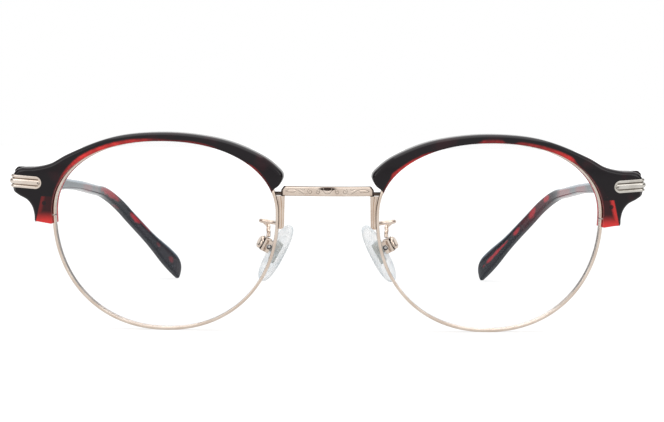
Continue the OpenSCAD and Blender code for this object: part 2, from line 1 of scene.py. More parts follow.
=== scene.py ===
# %% [markdown]
# Browline glasses, dressed for a studio picture.
# A pair of browline glasses hangs two thin wire rims under two heavy brows of cellulose acetate.
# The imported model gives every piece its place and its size. This lesson gives each piece the
# rounded edges, the relief and the finish that a hand would feel, in the same frame.

import json
from functools import reduce
from math import asin, atan2, cos, degrees, hypot, pi, radians, sin, sqrt

import bmesh
import bpy
from mathutils import Matrix, Vector
from mathutils.kdtree import KDTree


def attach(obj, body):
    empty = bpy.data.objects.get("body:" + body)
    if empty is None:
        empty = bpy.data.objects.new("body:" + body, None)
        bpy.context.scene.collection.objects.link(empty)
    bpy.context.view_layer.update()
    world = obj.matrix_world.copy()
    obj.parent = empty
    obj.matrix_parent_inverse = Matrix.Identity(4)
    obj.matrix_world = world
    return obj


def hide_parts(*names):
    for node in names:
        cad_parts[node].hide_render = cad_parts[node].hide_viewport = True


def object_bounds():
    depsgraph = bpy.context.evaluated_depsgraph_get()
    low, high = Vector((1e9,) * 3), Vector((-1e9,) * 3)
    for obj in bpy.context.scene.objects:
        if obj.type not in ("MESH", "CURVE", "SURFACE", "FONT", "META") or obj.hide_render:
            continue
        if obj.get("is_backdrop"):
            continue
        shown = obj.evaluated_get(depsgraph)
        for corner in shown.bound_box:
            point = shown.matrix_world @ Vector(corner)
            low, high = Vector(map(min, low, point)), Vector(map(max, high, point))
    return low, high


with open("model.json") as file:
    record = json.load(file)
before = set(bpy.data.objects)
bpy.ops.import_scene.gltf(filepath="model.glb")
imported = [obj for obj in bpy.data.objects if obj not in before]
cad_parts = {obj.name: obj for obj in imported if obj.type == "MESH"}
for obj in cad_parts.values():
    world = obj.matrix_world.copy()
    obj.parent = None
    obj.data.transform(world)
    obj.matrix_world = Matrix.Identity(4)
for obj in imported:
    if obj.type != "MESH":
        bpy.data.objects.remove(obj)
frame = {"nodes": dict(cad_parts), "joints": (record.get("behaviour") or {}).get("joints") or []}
cad_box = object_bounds()
print("the model is", [round((b - a) * 1000, 1) for a, b in zip(*cad_box)], "mm over all")

# %% [markdown]
# The shapes below are worked out in millimetres in the frame of the piece, as a maker draws them,
# and only brought into place at the end. The sizes are those of the model. Where a temple turns
# and how it leans is read from its hinge, so that nothing has to be fitted by eye.

# %% Sizes of the front
eye_temple, eye_nose, eye_upper, eye_lower = 24.3, 24.4, 15.85, 25.3
eye_power = 2.15
eye_offset = 35.7
base_curve = 130.0
wrap_angle, front_tilt = 4.0, 4.3
rim_wall, rim_half = 0.65, 1.0
brow_half = 2.0
end_reach, end_level, end_height = 34.2, 6.4, 6.0
leg_reach, leg_drop = 4.75, 2.4
lug_length = 3.5
temple_height, temple_thick = 5.8, 3.8
hinge_inset, lug_inset = 1.35, 0.46
print("a lens opening is", eye_temple + eye_nose, "by", eye_upper + eye_lower, "mm")


def sag(r):
    """How far the base curve lies back at a distance r from the lens middle."""
    return base_curve - sqrt(base_curve**2 - r**2)


# %% Places of the front, the eyes and the hinges
def turn(axis, angle):
    return Matrix.Rotation(radians(angle), 4, axis)


joint = {j["name"]: j for j in frame["joints"]}["left_temple_fold"]
hinge_axis = Vector(joint["axis"])
temple_slope = degrees(atan2(hinge_axis.y, hinge_axis.z))
temple_toe_in = 1.7
hinge_turn = turn("X", -temple_slope) @ turn("Z", temple_toe_in)
hinge_spot = Vector(joint["pos_m"]) * 1000 + hinge_turn @ Vector((temple_thick / 2 + hinge_inset, 0, 0))
lug_back = end_reach * sin(radians(wrap_angle)) + sag(end_reach) + brow_half - lug_inset + lug_length
rim_drop = eye_lower + rim_wall
eye_height = rim_drop * cos(radians(front_tilt)) - (sag(rim_drop) - rim_half) * sin(radians(front_tilt))

FRONT = Matrix.Translation((0, hinge_spot.y - lug_back, eye_height)) @ turn("X", front_tilt)
EYE = FRONT @ Matrix.Translation((eye_offset, 0, 0)) @ turn("Z", wrap_angle)
HINGE = Matrix.Translation(hinge_spot) @ hinge_turn
METRES = Matrix.Scale(0.001, 4)
MIRROR = Matrix.Scale(-1, 4, (1, 0, 0))
SIDES = {"left": METRES, "right": METRES @ MIRROR}
front_y = FRONT.translation.y
print("front at", round(front_y, 2), "eyes at", round(eye_height, 2), "slope", round(temple_slope, 2))

# %% [markdown]
# The picture is taken from straight in front with a long lens, so the temples show through the
# lenses, seen almost end on. The camera stands 365 mm in front of the bridge, a little above the
# middle of the lenses, and looks down by two and a half degrees.

# %% Camera
picture_width = 664
focal_pixels = 1680.2
camera_away = 365.4
camera_spot = Vector((2.05, front_y - camera_away, 42.59))
camera_turn = turn("Z", 0.165) @ turn("X", -2.495) @ turn("Y", -0.406)
lens_data = bpy.data.cameras.new("camera")
lens_data.sensor_width = 36
lens_data.lens = 36 * focal_pixels / picture_width
lens_data.clip_start = 0.01
camera = bpy.data.objects.new("camera", lens_data)
camera_place = Matrix.Translation(camera_spot) @ camera_turn @ turn("X", 90)
camera.matrix_world = METRES @ camera_place @ Matrix.Scale(1000, 4)
bpy.context.scene.collection.objects.link(camera)
bpy.context.scene.camera = camera
print("camera lens", round(lens_data.lens, 1), "mm")

# %% [markdown]
# Most of the pieces are long and thin: wires, bars, brows and temples. A ring of vertices with the
# outline of the section is extruded from station to station, as a sheet is drawn through a die.
# Every vertex remembers its number in the ring, so the new ring can be set onto its next section.

# %% Draw a section through its stations
def sweep(rings, place):
    """A bmesh through rings of points, with a cap at each end, in metres."""
    bm = bmesh.new()
    number = bm.verts.layers.int.new("number")
    ring = [bm.verts.new(p) for p in rings[0]]
    for i, v in enumerate(ring):
        v[number] = i
    first = [bm.edges.new((ring[i - 1], ring[i])) for i in range(len(ring))]
    edges = first
    for points in rings[1:]:
        made = bmesh.ops.extrude_edge_only(bm, edges=edges)["geom"]
        fresh = [g for g in made if isinstance(g, bmesh.types.BMVert)]
        for v in fresh:
            v.co = points[v[number]]
        known = set(fresh)
        edges = [g for g in made if isinstance(g, bmesh.types.BMEdge) and set(g.verts) <= known]
    bmesh.ops.contextual_create(bm, geom=first)
    bmesh.ops.contextual_create(bm, geom=edges)
    bm.verts.layers.int.remove(number)
    bmesh.ops.transform(bm, matrix=place, verts=bm.verts)
    bmesh.ops.recalc_face_normals(bm, faces=bm.faces)
    return bm


# %% Make a piece of the drawn surface
def finish_piece(bm, name, material, body, replaced, sharp=32):
    """Turn a bmesh into a piece that rides on its body and stands for its nodes."""
    mesh = bpy.data.meshes.new(name)
    bm.to_mesh(mesh)
    bm.free()
    piece = bpy.data.objects.new(name, mesh)
    bpy.context.scene.collection.objects.link(piece)
    mesh.materials.append(material)
    mesh.shade_smooth()
    mesh.set_sharp_from_angle(angle=radians(sharp))
    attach(piece, body)
    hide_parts(*replaced)
    print(name, len(mesh.polygons), "faces")
    return piece


# %% [markdown]
# Materials are built from nodes, so that every polish and cloud can be changed later. Small helpers
# keep them readable: one adds a node and feeds its sockets, and the others make a smooth step
# between two limits, mix two colours, draw noise, or read a number stored at the vertices.

# %% Node helpers
def feed(tree, socket, value):
    if isinstance(value, bpy.types.NodeSocket):
        tree.links.new(value, socket)
    else:
        socket.default_value = value


def add(tree, kind, result=0, settings=None, **inputs):
    """Add a node; inputs are sockets by name, with _ for a space, or by number as n0, n1."""
    node = tree.nodes.new("ShaderNode" + kind)
    for key, value in (settings or {}).items():
        setattr(node, key, value)
    for key, value in inputs.items():
        socket = node.inputs[int(key[1:])] if key[1:].isdigit() else node.inputs[key.replace("_", " ")]
        feed(tree, socket, value)
    return node.outputs[result]


def calc(tree, operation, *values):
    numbered = {f"n{i}": v for i, v in enumerate(values)}
    return add(tree, "Math", settings={"operation": operation}, **numbered)


def between(tree, value, low, high, start=0.0, end=1.0):
    """start below low, end above high, and a smooth step from one to the other."""
    return add(tree, "MapRange", settings={"interpolation_type": "SMOOTHSTEP"},
               Value=value, From_Min=low, From_Max=high, To_Min=start, To_Max=end)


def mix(tree, share, a, b):
    return add(tree, "Mix", result=2, settings={"data_type": "RGBA"}, n0=share, n6=a, n7=b)


def noise(tree, scale, detail, stretch=(1, 1, 1)):
    """Noise on Object coordinates, which are in metres: a scale of 1000 is a millimetre."""
    spot = add(tree, "TexCoord", result="Object")
    spot = add(tree, "Mapping", Vector=spot, Scale=stretch)
    return add(tree, "TexNoise", Vector=spot, Scale=scale, Detail=detail)


def attribute(tree, name):
    return add(tree, "Attribute", result=2, settings={"attribute_name": name})


def bump(tree, height, strength, depth):
    return add(tree, "Bump", Height=height, Strength=strength, Distance=depth)


def new_material(name, **sockets):
    """A material and its tree with one Principled shader, whose plain sockets are set here."""
    material = bpy.data.materials.new(name)
    material.use_nodes = True
    shader = material.node_tree.nodes["Principled BSDF"]
    for key, value in sockets.items():
        shader.inputs[key.replace("_", " ")].default_value = value
    return material, material.node_tree, shader


print("the packed model brings", len(bpy.data.materials), "plain materials")

# %% [markdown]
# The outline of a lens is a superellipse, a little squarer than an ellipse, with another height
# above its widest line than below. The rim, the groove in the brow and the lens all follow it.
# Rim, brow and lens also lie on one ball, the base curve, at their own depths.

# %% The eye outline and the base curve
def eye_point(angle, grow=0.0):
    """A point of the outline at an angle in degrees, 0 at the temple side and 90 at the top."""
    c, s = cos(radians(angle)), sin(radians(angle))
    across = (eye_temple if c >= 0 else eye_nose) + grow
    up = (eye_upper if s >= 0 else eye_lower) + grow
    power = 2 / eye_power
    across *= abs(c) ** power * (1 if c >= 0 else -1)
    up *= abs(s) ** power * (1 if s >= 0 else -1)
    return Vector((across, up))


def grown_reach(angle, temple_grow, grow):
    """How far the outline lies from the middle in a true direction, grown more to the temple side."""
    c, s = cos(radians(angle)), sin(radians(angle))
    across = eye_temple + temple_grow if c >= 0 else eye_nose + grow
    up = (eye_upper if s >= 0 else eye_lower) + grow
    return (abs(c / across) ** eye_power + abs(s / up) ** eye_power) ** (-1 / eye_power)


def on_ball(point, depth):
    """The point above a flat x and z that lies at a depth behind the base curve."""
    rise = sqrt((base_curve - depth) ** 2 - point[0] ** 2 - point[1] ** 2)
    return Vector((point[0], base_curve - rise, point[1]))


print("the outline at 45 degrees is", round(grown_reach(45, 0, 0), 2), "mm from its middle")


# %% [markdown]
# ## Plated metal
# Rims, bridge and pad arms are copper alloy with a pale rose gold plating. Plating copies the
# surface under it, so fine drawing marks from the wire stay visible as a slight streak in the
# roughness. The colour itself is almost even, with a little warmth that comes and goes. Grooves and
# inner corners of polished metal mirror the dark side of a room, so a piece can store a shade at
# its vertices, which turns the metal to a deep brown there.

# %% Metal materials
mirrored_dark = (0.05, 0.034, 0.028, 1)


def plated(name, light, dark, roughness, streak):
    material, tree, shader = new_material(name, Metallic=1.0)
    cloud = noise(tree, 260, 2)
    plate = mix(tree, between(tree, cloud, 0.35, 0.65), light, dark)
    shade = between(tree, attribute(tree, "shade"), 0.1, 1.0)
    feed(tree, shader.inputs["Base Color"], mix(tree, shade, plate, mirrored_dark))
    marks = noise(tree, 1500, 4, stretch=streak)
    feed(tree, shader.inputs["Roughness"], between(tree, marks, 0.3, 0.7, roughness * 0.88, roughness * 1.15))
    feed(tree, shader.inputs["Normal"], bump(tree, marks, 0.03, 0.00002))
    return material


rose_gold = plated("rose_gold", (0.80, 0.685, 0.59, 1), (0.72, 0.595, 0.50, 1), 0.17, (1, 1, 1))
drawn_gold = plated("drawn_gold", (0.80, 0.675, 0.57, 1), (0.71, 0.57, 0.47, 1), 0.14, (0.3, 1, 2))
pale_gold = plated("pale_gold", (0.84, 0.745, 0.66, 1), (0.76, 0.65, 0.56, 1), 0.11, (0.2, 1, 3))
silver_gold = plated("silver_gold", (0.68, 0.65, 0.60, 1), (0.58, 0.55, 0.50, 1), 0.1, (0.2, 1, 3))
steel = plated("screw_steel", (0.66, 0.65, 0.64, 1), (0.52, 0.51, 0.50, 1), 0.3, (1, 1, 1))
print("metals:", rose_gold.name, drawn_gold.name, pale_gold.name, silver_gold.name, steel.name)

# %% [markdown]
# ## Rims
# A rim is a drawn wire with a groove on its inner side that holds the lens edge. It is bent to the
# eye outline and closed at the temple side, where a hair-wide split lets the lens in. The section
# below has rounded outer corners and a V groove; it runs from one side of the split to the other.
# Low down, the wall behind the lens carries a painted shade, a thin dark line for the room mirrored there,
# stronger in one eye; the outside of the wire is shaded a little too.

# %% Numbers at the vertices
def paint(piece, name, values):
    """Store one number for every vertex, which a material can read."""
    layer = piece.data.attributes.new(name, "FLOAT", "POINT")
    layer.data.foreach_set("value", values)


def drawn_spots(piece, place):
    """The vertices of a piece in the frame and the millimetres that it was drawn in."""
    back = place.inverted()
    return [back @ v.co for v in piece.data.vertices]


def interpolate(table, s):
    """The value at s from a table of (s, value) pairs, straight between them."""
    if s <= table[0][0]:
        return table[0][1]
    for (s0, v0), (s1, v1) in zip(table, table[1:]):
        if s <= s1:
            return v0 + (v1 - v0) * (s - s0) / (s1 - s0)
    return table[-1][1]


print("a test between 2 and 4:", interpolate([(0, 2), (1, 4)], 0.5))

# %% Rim section and path
rim_front = [(0.02, -0.86), (0.08, -0.95), (0.2, -1.0), (0.42, -1.0), (0.56, -0.95),
             (0.65, -0.8), (0.65, -0.3)]
rim_groove = [(0.0, 0.6), (0.02, 0.47), (0.34, 0.12)]
rim_section = rim_front + [(0.62, 0.0)] + [(out, -deep) for out, deep in reversed(rim_front)]
rim_section += rim_groove + [(out, -deep) for out, deep in reversed(rim_groove)]
split_low, split_high = -0.87, -0.63


def outline_angle(level):
    """The outline's own angle at which its temple side reaches a level."""
    edge = eye_upper if level > 0 else eye_lower
    return degrees(asin(abs(level / edge) ** (eye_power / 2))) * (1 if level > 0 else -1)


rim_start = outline_angle(split_high)
rim_end = 360 + outline_angle(split_low)
rim_steps = 240
rim_rings = []
for i in range(rim_steps + 1):
    angle = rim_start + (rim_end - rim_start) * i / rim_steps
    rim_rings.append([on_ball(eye_point(angle, out), deep) for out, deep in rim_section])

print("rim:", len(rim_rings), "stations of", len(rim_section), "points")

# %% Both rims
inner_shade = [  # angle, shade of the wall behind the lens
    (-175, 0.15), (-155, 0.2), (-135, 0.5), (-115, 0.5), (-95, 0.25), (-75, 0.4), (-58, 0.6),
    (-44, 0.45), (-30, 0.15), (-5, 0.12), (60, 0.05), (100, 0.0), (180, 0.1)]
shade_strength = {"right": 1.0, "left": 0.55}
outer_shade, wall_depth = 0.12, 0.36
for side, place in SIDES.items():
    rim = finish_piece(sweep(rim_rings, place @ EYE), side + "_rim_wire", rose_gold,
                       "front", [side + "_rim"], sharp=50)
    shade = []
    for p in drawn_spots(rim, place @ EYE):
        angle = degrees(atan2(p.z, p.x))
        inner = hypot(p.x, p.z) < grown_reach(angle, wall_depth, wall_depth)
        behind = base_curve - (p - Vector((0, base_curve, 0))).length > -0.7 * rim_half
        wall_shade = shade_strength[side] * interpolate(inner_shade, angle)
        shade.append(wall_shade if inner and behind else outer_shade * (not inner))
    paint(rim, "shade", shade)

# %% [markdown]
# ## Lenses
# A lens is a thin curved disc with a ridge round its edge that sits in the rim's groove. Clear
# glass in front of a white ground hardly shows: only its edge is a faint blue line. The disc is
# swept from its middle out over the front, round the ridge, and back in.

# %% Sums, rays and a see-through surface
def product(tree, *values):
    return reduce(lambda a, b: calc(tree, "MULTIPLY", a, b), values)


def total(tree, *values):
    return reduce(lambda a, b: calc(tree, "ADD", a, b), values)


def less(tree, a, b):
    return calc(tree, "SUBTRACT", a, b)


def ray(tree, kind):
    """1 for rays of one kind, which is Camera, Shadow, Glossy or Transmission, and 0 for others."""
    return add(tree, "LightPath", result=f"Is {kind} Ray")


def see_through(tree, shader, share):
    """Show the shader by its share, and what lies behind it by the rest."""
    clear = add(tree, "BsdfTransparent")
    surface = add(tree, "MixShader", n0=share, n1=clear, n2=shader.outputs[0])
    feed(tree, tree.nodes["Material Output"].inputs["Surface"], surface)


# %% Glass material
def clear_glass():
    material, tree, shader = new_material("lens_glass", Roughness=0.02, IOR=1.5, Specular_IOR_Level=0.5)
    shader.inputs["Base Color"].default_value = (0.72, 0.86, 1.0, 1)
    rim_glow = product(tree, attribute(tree, "edge"), 0.06)
    facing = product(tree, add(tree, "LayerWeight", result="Fresnel", Blend=0.12), 0.1)
    share = calc(tree, "MINIMUM", total(tree, rim_glow, 0.015, facing), 0.6)
    see_through(tree, shader, product(tree, share, less(tree, 1.0, ray(tree, "Shadow"))))
    return material


lens_glass = clear_glass()
print("glass:", lens_glass.name)

# %% Lens discs
lens_shares = [0.02, 0.15, 0.3, 0.45, 0.6, 0.72, 0.82, 0.9, 0.95, 0.985, 1.0]
lens_steps = 128
lens_half, ridge_half, ridge_out = 0.95, 0.35, 0.3
lens_rows = [(share, -0.05, -lens_half) for share in lens_shares]
lens_rows += [(1.0, -0.05, -ridge_half), (1.0, ridge_out, -ridge_half)]
lens_rows += [(1.0, ridge_out, ridge_half), (1.0, -0.05, ridge_half)]
lens_rows += [(share, -0.05, lens_half) for share in reversed(lens_shares)]
lens_rings = []
for share, grow, deep in lens_rows:
    outline = [eye_point(i * 360 / lens_steps, grow) * share for i in range(lens_steps)]
    lens_rings.append([on_ball(p, deep) for p in outline])

for side, place in SIDES.items():
    lens = finish_piece(sweep(lens_rings, place @ EYE), side + "_lens_disc", lens_glass,
                        "front", [side + "_lens"])
    paint(lens, "edge", [float(share == 1) for share, grow, deep in lens_rows for i in range(lens_steps)])

# %% [markdown]
# ## Brows
# A brow is milled from a sheet of acetate and tumbled until every edge is round. Seen from the
# middle of its lens, its outer edge never doubles back, so one section can be swept round the eye
# from the nose end, over the top, round the outer lobe and down to the foot of the leg.

# %% The outer edge of a brow
def smooth_line(points, steps):
    """A smooth curve through all points, as a list."""
    last = len(points) - 1
    line = []
    for i in range(last):
        a, b, c, d = (points[j] for j in (max(i - 1, 0), i, i + 1, min(i + 2, last)))
        for k in range(steps):
            t = k / steps
            line.append(0.5 * (2 * b + (c - a) * t + (2 * a - 5 * b + 4 * c - d) * t * t
                               + (3 * b - a - 3 * c + d) * t**3))
    return line + [points[last]]


nose_corner, brow_top = -26.0, 17.8
end_top, end_bottom = end_level + end_height / 2, end_level - end_height / 2
leg_edge = eye_temple + leg_reach
edge_points = [
    (nose_corner + 1.9, end_level - 0.75), (nose_corner + 0.85, end_level + 0.1),
    (nose_corner + 0.03, end_level + 1.9), (nose_corner + 0.85, end_level + 3.55),
    (0.826 * nose_corner, 0.722 * brow_top), (0.572 * nose_corner, 0.886 * brow_top),
    (0.31 * nose_corner, 0.969 * brow_top), (-0.7, brow_top),
    (0.219 * end_reach, 0.972 * brow_top), (0.412 * end_reach, 0.884 * brow_top),
    (0.62 * end_reach, 0.717 * brow_top), (0.735 * end_reach, end_top + 1.22),
    (0.84 * end_reach, end_top + 0.3), (end_reach - 2, end_top),
    (end_reach - 0.4, end_top - 1.1), (end_reach, end_level),
    (end_reach - 0.2, end_bottom + 1), (end_reach - 1.5, end_bottom - 0.05),
    (end_reach - 3.5, end_bottom - 1.05), (leg_edge + 0.45, end_bottom - 2.6),
    (leg_edge, -0.45 * leg_drop)]
brow_tip = Vector((-23.45, 4.9))
foot = [Vector((leg_edge - 0.01, -leg_drop + 0.7)), Vector((leg_edge - 0.05, -leg_drop + 0.4)),
        Vector((leg_edge - 0.15, -leg_drop + 0.15)), Vector((leg_edge - 0.3, -leg_drop + 0.03))]
foot_inner = [-3.4, -4.3, -5.1, -5.95]
edge_line = [Vector(p) for p in edge_points]
edge_line = [brow_tip, (brow_tip + edge_line[0]) / 2] + smooth_line(edge_line, 9) + foot
print("the edge of a brow has", len(edge_line), "points")


# %% The section of a brow
front_grow, groove_grow, rear_grow = (0.55, 0.1), (0.7, 0.7), (-0.1, 0.0)  # temple side, elsewhere
outer_round = [(0.9, -2.0), (0.62, -1.96), (0.36, -1.83), (0.15, -1.6), (0.03, -1.3), (0, -0.95),
               (0, 0.2), (0, 1.3), (0.06, 1.65), (0.22, 1.88), (0.5, 2.0)]
front_shares, back_shares = (0.2, 0.45, 0.7, 0.87, 0.96), (0.3, 0.6, 0.85)
lip = 1.12


def bevel_corner(p):
    """Push a point back behind the bevel of the outer corner."""
    start = end_reach - 1.3
    if p.x > start - 0.7:
        p.y = max(p.y, sag(end_reach) - brow_half - 0.7 + (p.x - start) * 3.7 / 2.7)
    return p


def brow_ring(outer, normal, angle, crisp):
    """One section, from the front lip over the outer edge to the rear lip and the groove."""
    way = Vector((cos(radians(angle)), sin(radians(angle))))
    most = outer.length - 0.04
    front, groove, rear = (min(grown_reach(angle, *g), most) for g in (front_grow, groove_grow, rear_grow))
    room = min(1.0, max(0.03, (outer.length - front) / 2.0))
    flat = [(way * front, -lip), (way * front, -1.75), (way * (front + 0.08 * room), -1.93),
            (way * (front + 0.28 * room), -2.0)]
    rim_edge = [(outer - normal * o * room * crisp, d) for o, d in outer_round]
    back = [(way * (rear + 0.3 * room), 2.0), (way * (rear + 0.08 * room), 1.93), (way * rear, 1.75),
            (way * rear, lip), (way * groove, lip), (way * groove, -lip)]
    face = [(flat[-1][0].lerp(rim_edge[0][0], t), -2.0) for t in front_shares]
    behind = [(rim_edge[-1][0].lerp(back[0][0], t), 2.0) for t in back_shares]
    return [bevel_corner(on_ball(p, d)) for p, d in flat + face + rim_edge + behind + back]


brow_rings = []
for i, outer in enumerate(edge_line):
    ahead, before = edge_line[min(i + 1, len(edge_line) - 1)], edge_line[max(i - 1, 0)]
    run = (ahead - before).normalized()
    angle = degrees(atan2(outer.y, outer.x))
    if i >= len(edge_line) - len(foot):
        angle = foot_inner[i - len(edge_line)]
    crisp = min(1.0, 0.3 + (len(edge_line) - 1 - i) * 0.12)
    brow_rings.append(brow_ring(outer, Vector((-run.y, run.x)), angle, crisp))
print("brow:", len(brow_rings), "stations of", len(brow_rings[0]), "points")


# %% [markdown]
# Behind its outer lobe a brow carries a lug, the square stub on which the hinge sits, and behind
# its leg it is hollowed for the block that closes the rim. Two boolean steps do what the milling
# cutter does: one joins the lug, the other takes the hollow away.

# %% Join and cut
def with_boolean(bm, other, operation):
    """Join a closed shape to another, or cut it away, and return the result."""
    objects = []
    for part in (bm, other):
        mesh = bpy.data.meshes.new("step")
        part.to_mesh(mesh)
        part.free()
        objects.append(bpy.data.objects.new("step", mesh))
        bpy.context.scene.collection.objects.link(objects[-1])
    step = objects[0].modifiers.new("step", "BOOLEAN")
    step.object, step.operation, step.solver = objects[1], operation, "EXACT"
    result = bmesh.new()
    result.from_object(objects[0], bpy.context.evaluated_depsgraph_get())
    for used in objects:
        bpy.data.objects.remove(used)
    return result


def rounded_section(half_width, half_height, cut):
    """A section with flat sides, cut corners and a soft turn at each end of the cuts."""
    points = []
    for sx, sz in ((1, 1), (-1, 1), (-1, -1), (1, -1)):
        corner = [(half_width, half_height - cut * 1.25), (half_width - cut * 0.07, half_height - cut * 0.8),
                  (half_width - cut * 0.8, half_height - cut * 0.07), (half_width - cut * 1.25, half_height)]
        corner = corner if sx * sz > 0 else corner[::-1]
        points += [(x * sx, z * sz) for x, z in corner]
    return points


print("a section with soft corners has", len(rounded_section(2, 3, 0.8)), "points")

# %% Shape of a brow with its lug and its hollow
hollow = [(eye_temple + rim_wall - 0.1, 3.4), (28.3, 3.4), (leg_edge - 0.6, -leg_drop - 1),
          (eye_temple + rim_wall - 0.1, -leg_drop - 1)]


def brow_bmesh(place):
    bm = sweep(brow_rings, place @ EYE)
    lug = rounded_section(temple_thick / 2, temple_height / 2, 0.8)
    rows = [(-0.15, 0.12), (-0.2, 0.04), (-0.32, 0.0), (-2.5, 0.0), (-5.2, 0.0)]
    rings = [[Vector((x * (1 - inset / 2), y, z * (1 - inset / 3))) for x, z in lug] for y, inset in rows]
    bm = with_boolean(bm, sweep(rings, place @ HINGE), "UNION")
    rings = [[on_ball(p, -0.6) for p in hollow], [Vector((p[0], 12, p[1])) for p in hollow]]
    return with_boolean(bm, sweep(rings, place @ EYE), "DIFFERENCE")


# %% [markdown]
# The acetate is a dark laminate over clear red: where it is thick it looks black, and where light
# comes through, along the lower edge and at the foot of the leg, it glows red. The glow differs
# from brow to brow as the layers were cut, so each side has its own table of angle, width and
# strength. Every vertex stores how far it lies from the lower edge, and the width there. In the leg
# a metal tab and its screw stand behind the plastic, so a dark window shows there with red round it.

# %% Helpers for a polished plastic
def largest(tree, *values):
    return reduce(lambda a, b: calc(tree, "MAXIMUM", a, b), values)


def distance(tree, dx, dz):
    return calc(tree, "SQRT", total(tree, product(tree, dx, dx), product(tree, dz, dz)))


def polish(tree, shader, stretch, low, high):
    """A polish with fine marks along one way, between two roughnesses."""
    marks = noise(tree, 2500, 4, stretch)
    feed(tree, shader.inputs["Roughness"], between(tree, marks, 0.4, 0.8, low, high))


# %% Acetate of the brows
glow_tables = {
    "right": [(5, 0.2, 0.3), (15, 0.3, 0.4), (23, 0.7, 0.75), (33, 1.1, 1.0), (55, 1.0, 0.95),
              (70, 0.85, 0.6), (85, 0.6, 0.36), (97, 0.35, 0.25), (112, 0.55, 0.3), (125, 0.5, 0.25),
              (133, 0.2, 0.0), (145, 0.2, 0.1), (152, 0.6, 0.45), (158, 0.5, 0.25), (165, 0.4, 0.15)],
    "left": [(5, 0.25, 0.3), (28, 0.25, 0.3), (32, 0.4, 0.5), (36, 1.1, 0.9), (50, 0.9, 0.55),
             (60, 0.8, 0.45), (70, 0.8, 0.4), (74, 0.3, 0.1), (80, 0.3, 0.1), (84, 0.9, 0.42),
             (98, 0.8, 0.36), (103, 0.2, 0.0), (130, 0.2, 0.0), (136, 0.5, 0.6), (148, 0.65, 0.85),
             (153, 0.75, 0.85), (157, 1.0, 0.6), (160, 0.5, 0.5), (168, 0.3, 0.25)]}
tab_top, tab_inner, tab_outer, tab_lean = 3.4, 24.6, 28.0, 1.4 / 5.8
screw_x, screw_z = 26.6, 1.9
red_strip = {"left": 0.75, "right": 0.2}


def acetate_brow():
    material, tree, shader = new_material("brow_acetate", IOR=1.49, Specular_IOR_Level=0.3)
    across, width, glow = attribute(tree, "across"), attribute(tree, "width"), attribute(tree, "glow")
    band = between(tree, less(tree, across, width), -0.45, 0.15, 1.0, 0.0)
    band = product(tree, band, glow, between(tree, noise(tree, 900, 3), 0.3, 0.65, 0.6, 1.0))
    lip_glow = between(tree, across, -0.45, -0.1, 0.9, 0.0)
    x, z = attribute(tree, "eye_x"), attribute(tree, "eye_z")
    outer = total(tree, x, product(tree, z, tab_lean))
    inside = product(tree, between(tree, outer, tab_outer - 0.15, tab_outer + 0.15, 1.0, 0.0),
                     between(tree, z, tab_top - 0.15, tab_top + 0.1, 1.0, 0.0),
                     between(tree, x, tab_inner - 0.3, tab_inner + 0.3))
    low = between(tree, z, -2.5, 0.4, 0.95, 0.035)
    strip = product(tree, between(tree, outer, tab_outer - 1.3, tab_outer - 0.4), attribute(tree, "strip"))
    away = distance(tree, less(tree, x, screw_x), less(tree, z, screw_z))
    window = product(tree, inside, largest(tree, low, strip), between(tree, away, 0.42, 0.55, 0.15, 1.0))
    # painted glow: the red layer is painted bright where light would shine through it, along the lower edge,
    # inside the front lip and low in the leg window, and stays dark over the tab and its screw
    red = largest(tree, band, lip_glow, window)
    tint = mix(tree, red, (0.0072, 0.0040, 0.0062, 1), (1.0, 0.05, 0.045, 1))
    cloud = between(tree, noise(tree, 220, 2), 0.5, 0.72, 0.0, 0.45)
    feed(tree, shader.inputs["Base Color"], mix(tree, cloud, tint, (0.045, 0.006, 0.010, 1)))
    polish(tree, shader, (0.3, 1, 1), 0.05, 0.14)
    feed(tree, shader.inputs["Normal"], bump(tree, noise(tree, 120, 2), 0.06, 0.0003))
    return material


brow_acetate = acetate_brow()
print("plastic:", brow_acetate.name)

# %% Both brows
for side, place in SIDES.items():
    brow = finish_piece(brow_bmesh(place), side + "_brow_shell", brow_acetate,
                        "front", [side + "_brow"], sharp=40)
    columns = {"across": [], "width": [], "glow": [], "eye_x": [], "eye_z": [], "strip": []}
    for p in drawn_spots(brow, place @ EYE):
        angle = degrees(atan2(p.z, p.x))
        columns["across"].append(hypot(p.x, p.z) - grown_reach(angle, *front_grow))
        columns["width"].append(interpolate([(a, w) for a, w, g in glow_tables[side]], angle))
        columns["glow"].append(interpolate([(a, g) for a, w, g in glow_tables[side]], angle))
        columns["eye_x"].append(p.x)
        columns["eye_z"].append(p.z)
        columns["strip"].append(red_strip[side])
    for name, values in columns.items():
        paint(brow, name, values)

# %% [markdown]
# ## End plaques
# A ribbed plaque of plated metal is let into the outer lobe of each brow and bent round its
# corner. It has a broad middle rib, two narrow ones beside it, and a round inner end. The height
# of the surface is that of the nearest rib, and a rib starts with a round nose of its own.

# %% Path of a plaque, seen from above
trim_height, trim_proud, trim_lean, trim_corner = 2.8, 0.6, 2.5, 1.3
trim_ball = sqrt((base_curve + brow_half) ** 2 - end_level**2)
trim_start = end_reach - 7.05
trim_back = sag(end_reach) + brow_half - 0.45
corner_x = end_reach - trim_corner
corner_y = base_curve - sqrt((trim_ball - trim_corner) ** 2 - corner_x**2)
start_turn, corner_turn = asin(trim_start / trim_ball), asin(corner_x / (trim_ball - trim_corner))
front_run = trim_ball * (corner_turn - start_turn)
corner_run = trim_corner * (pi / 2 - corner_turn)
side_run = trim_back - corner_y


def trim_spot(t, out):
    """A point at a run t along the plaque, standing out from the brow's surface."""
    if t < front_run:
        a = start_turn + t / trim_ball
        return (trim_ball + out) * sin(a), base_curve - (trim_ball + out) * cos(a)
    if t < front_run + corner_run:
        a = corner_turn + (t - front_run) / trim_corner
        return corner_x + (trim_corner + out) * sin(a), corner_y - (trim_corner + out) * cos(a)
    return end_reach + out, corner_y + t - front_run - corner_run


print("the plaque runs", round(front_run, 2), "mm in front and", round(side_run, 2), "mm at the side")


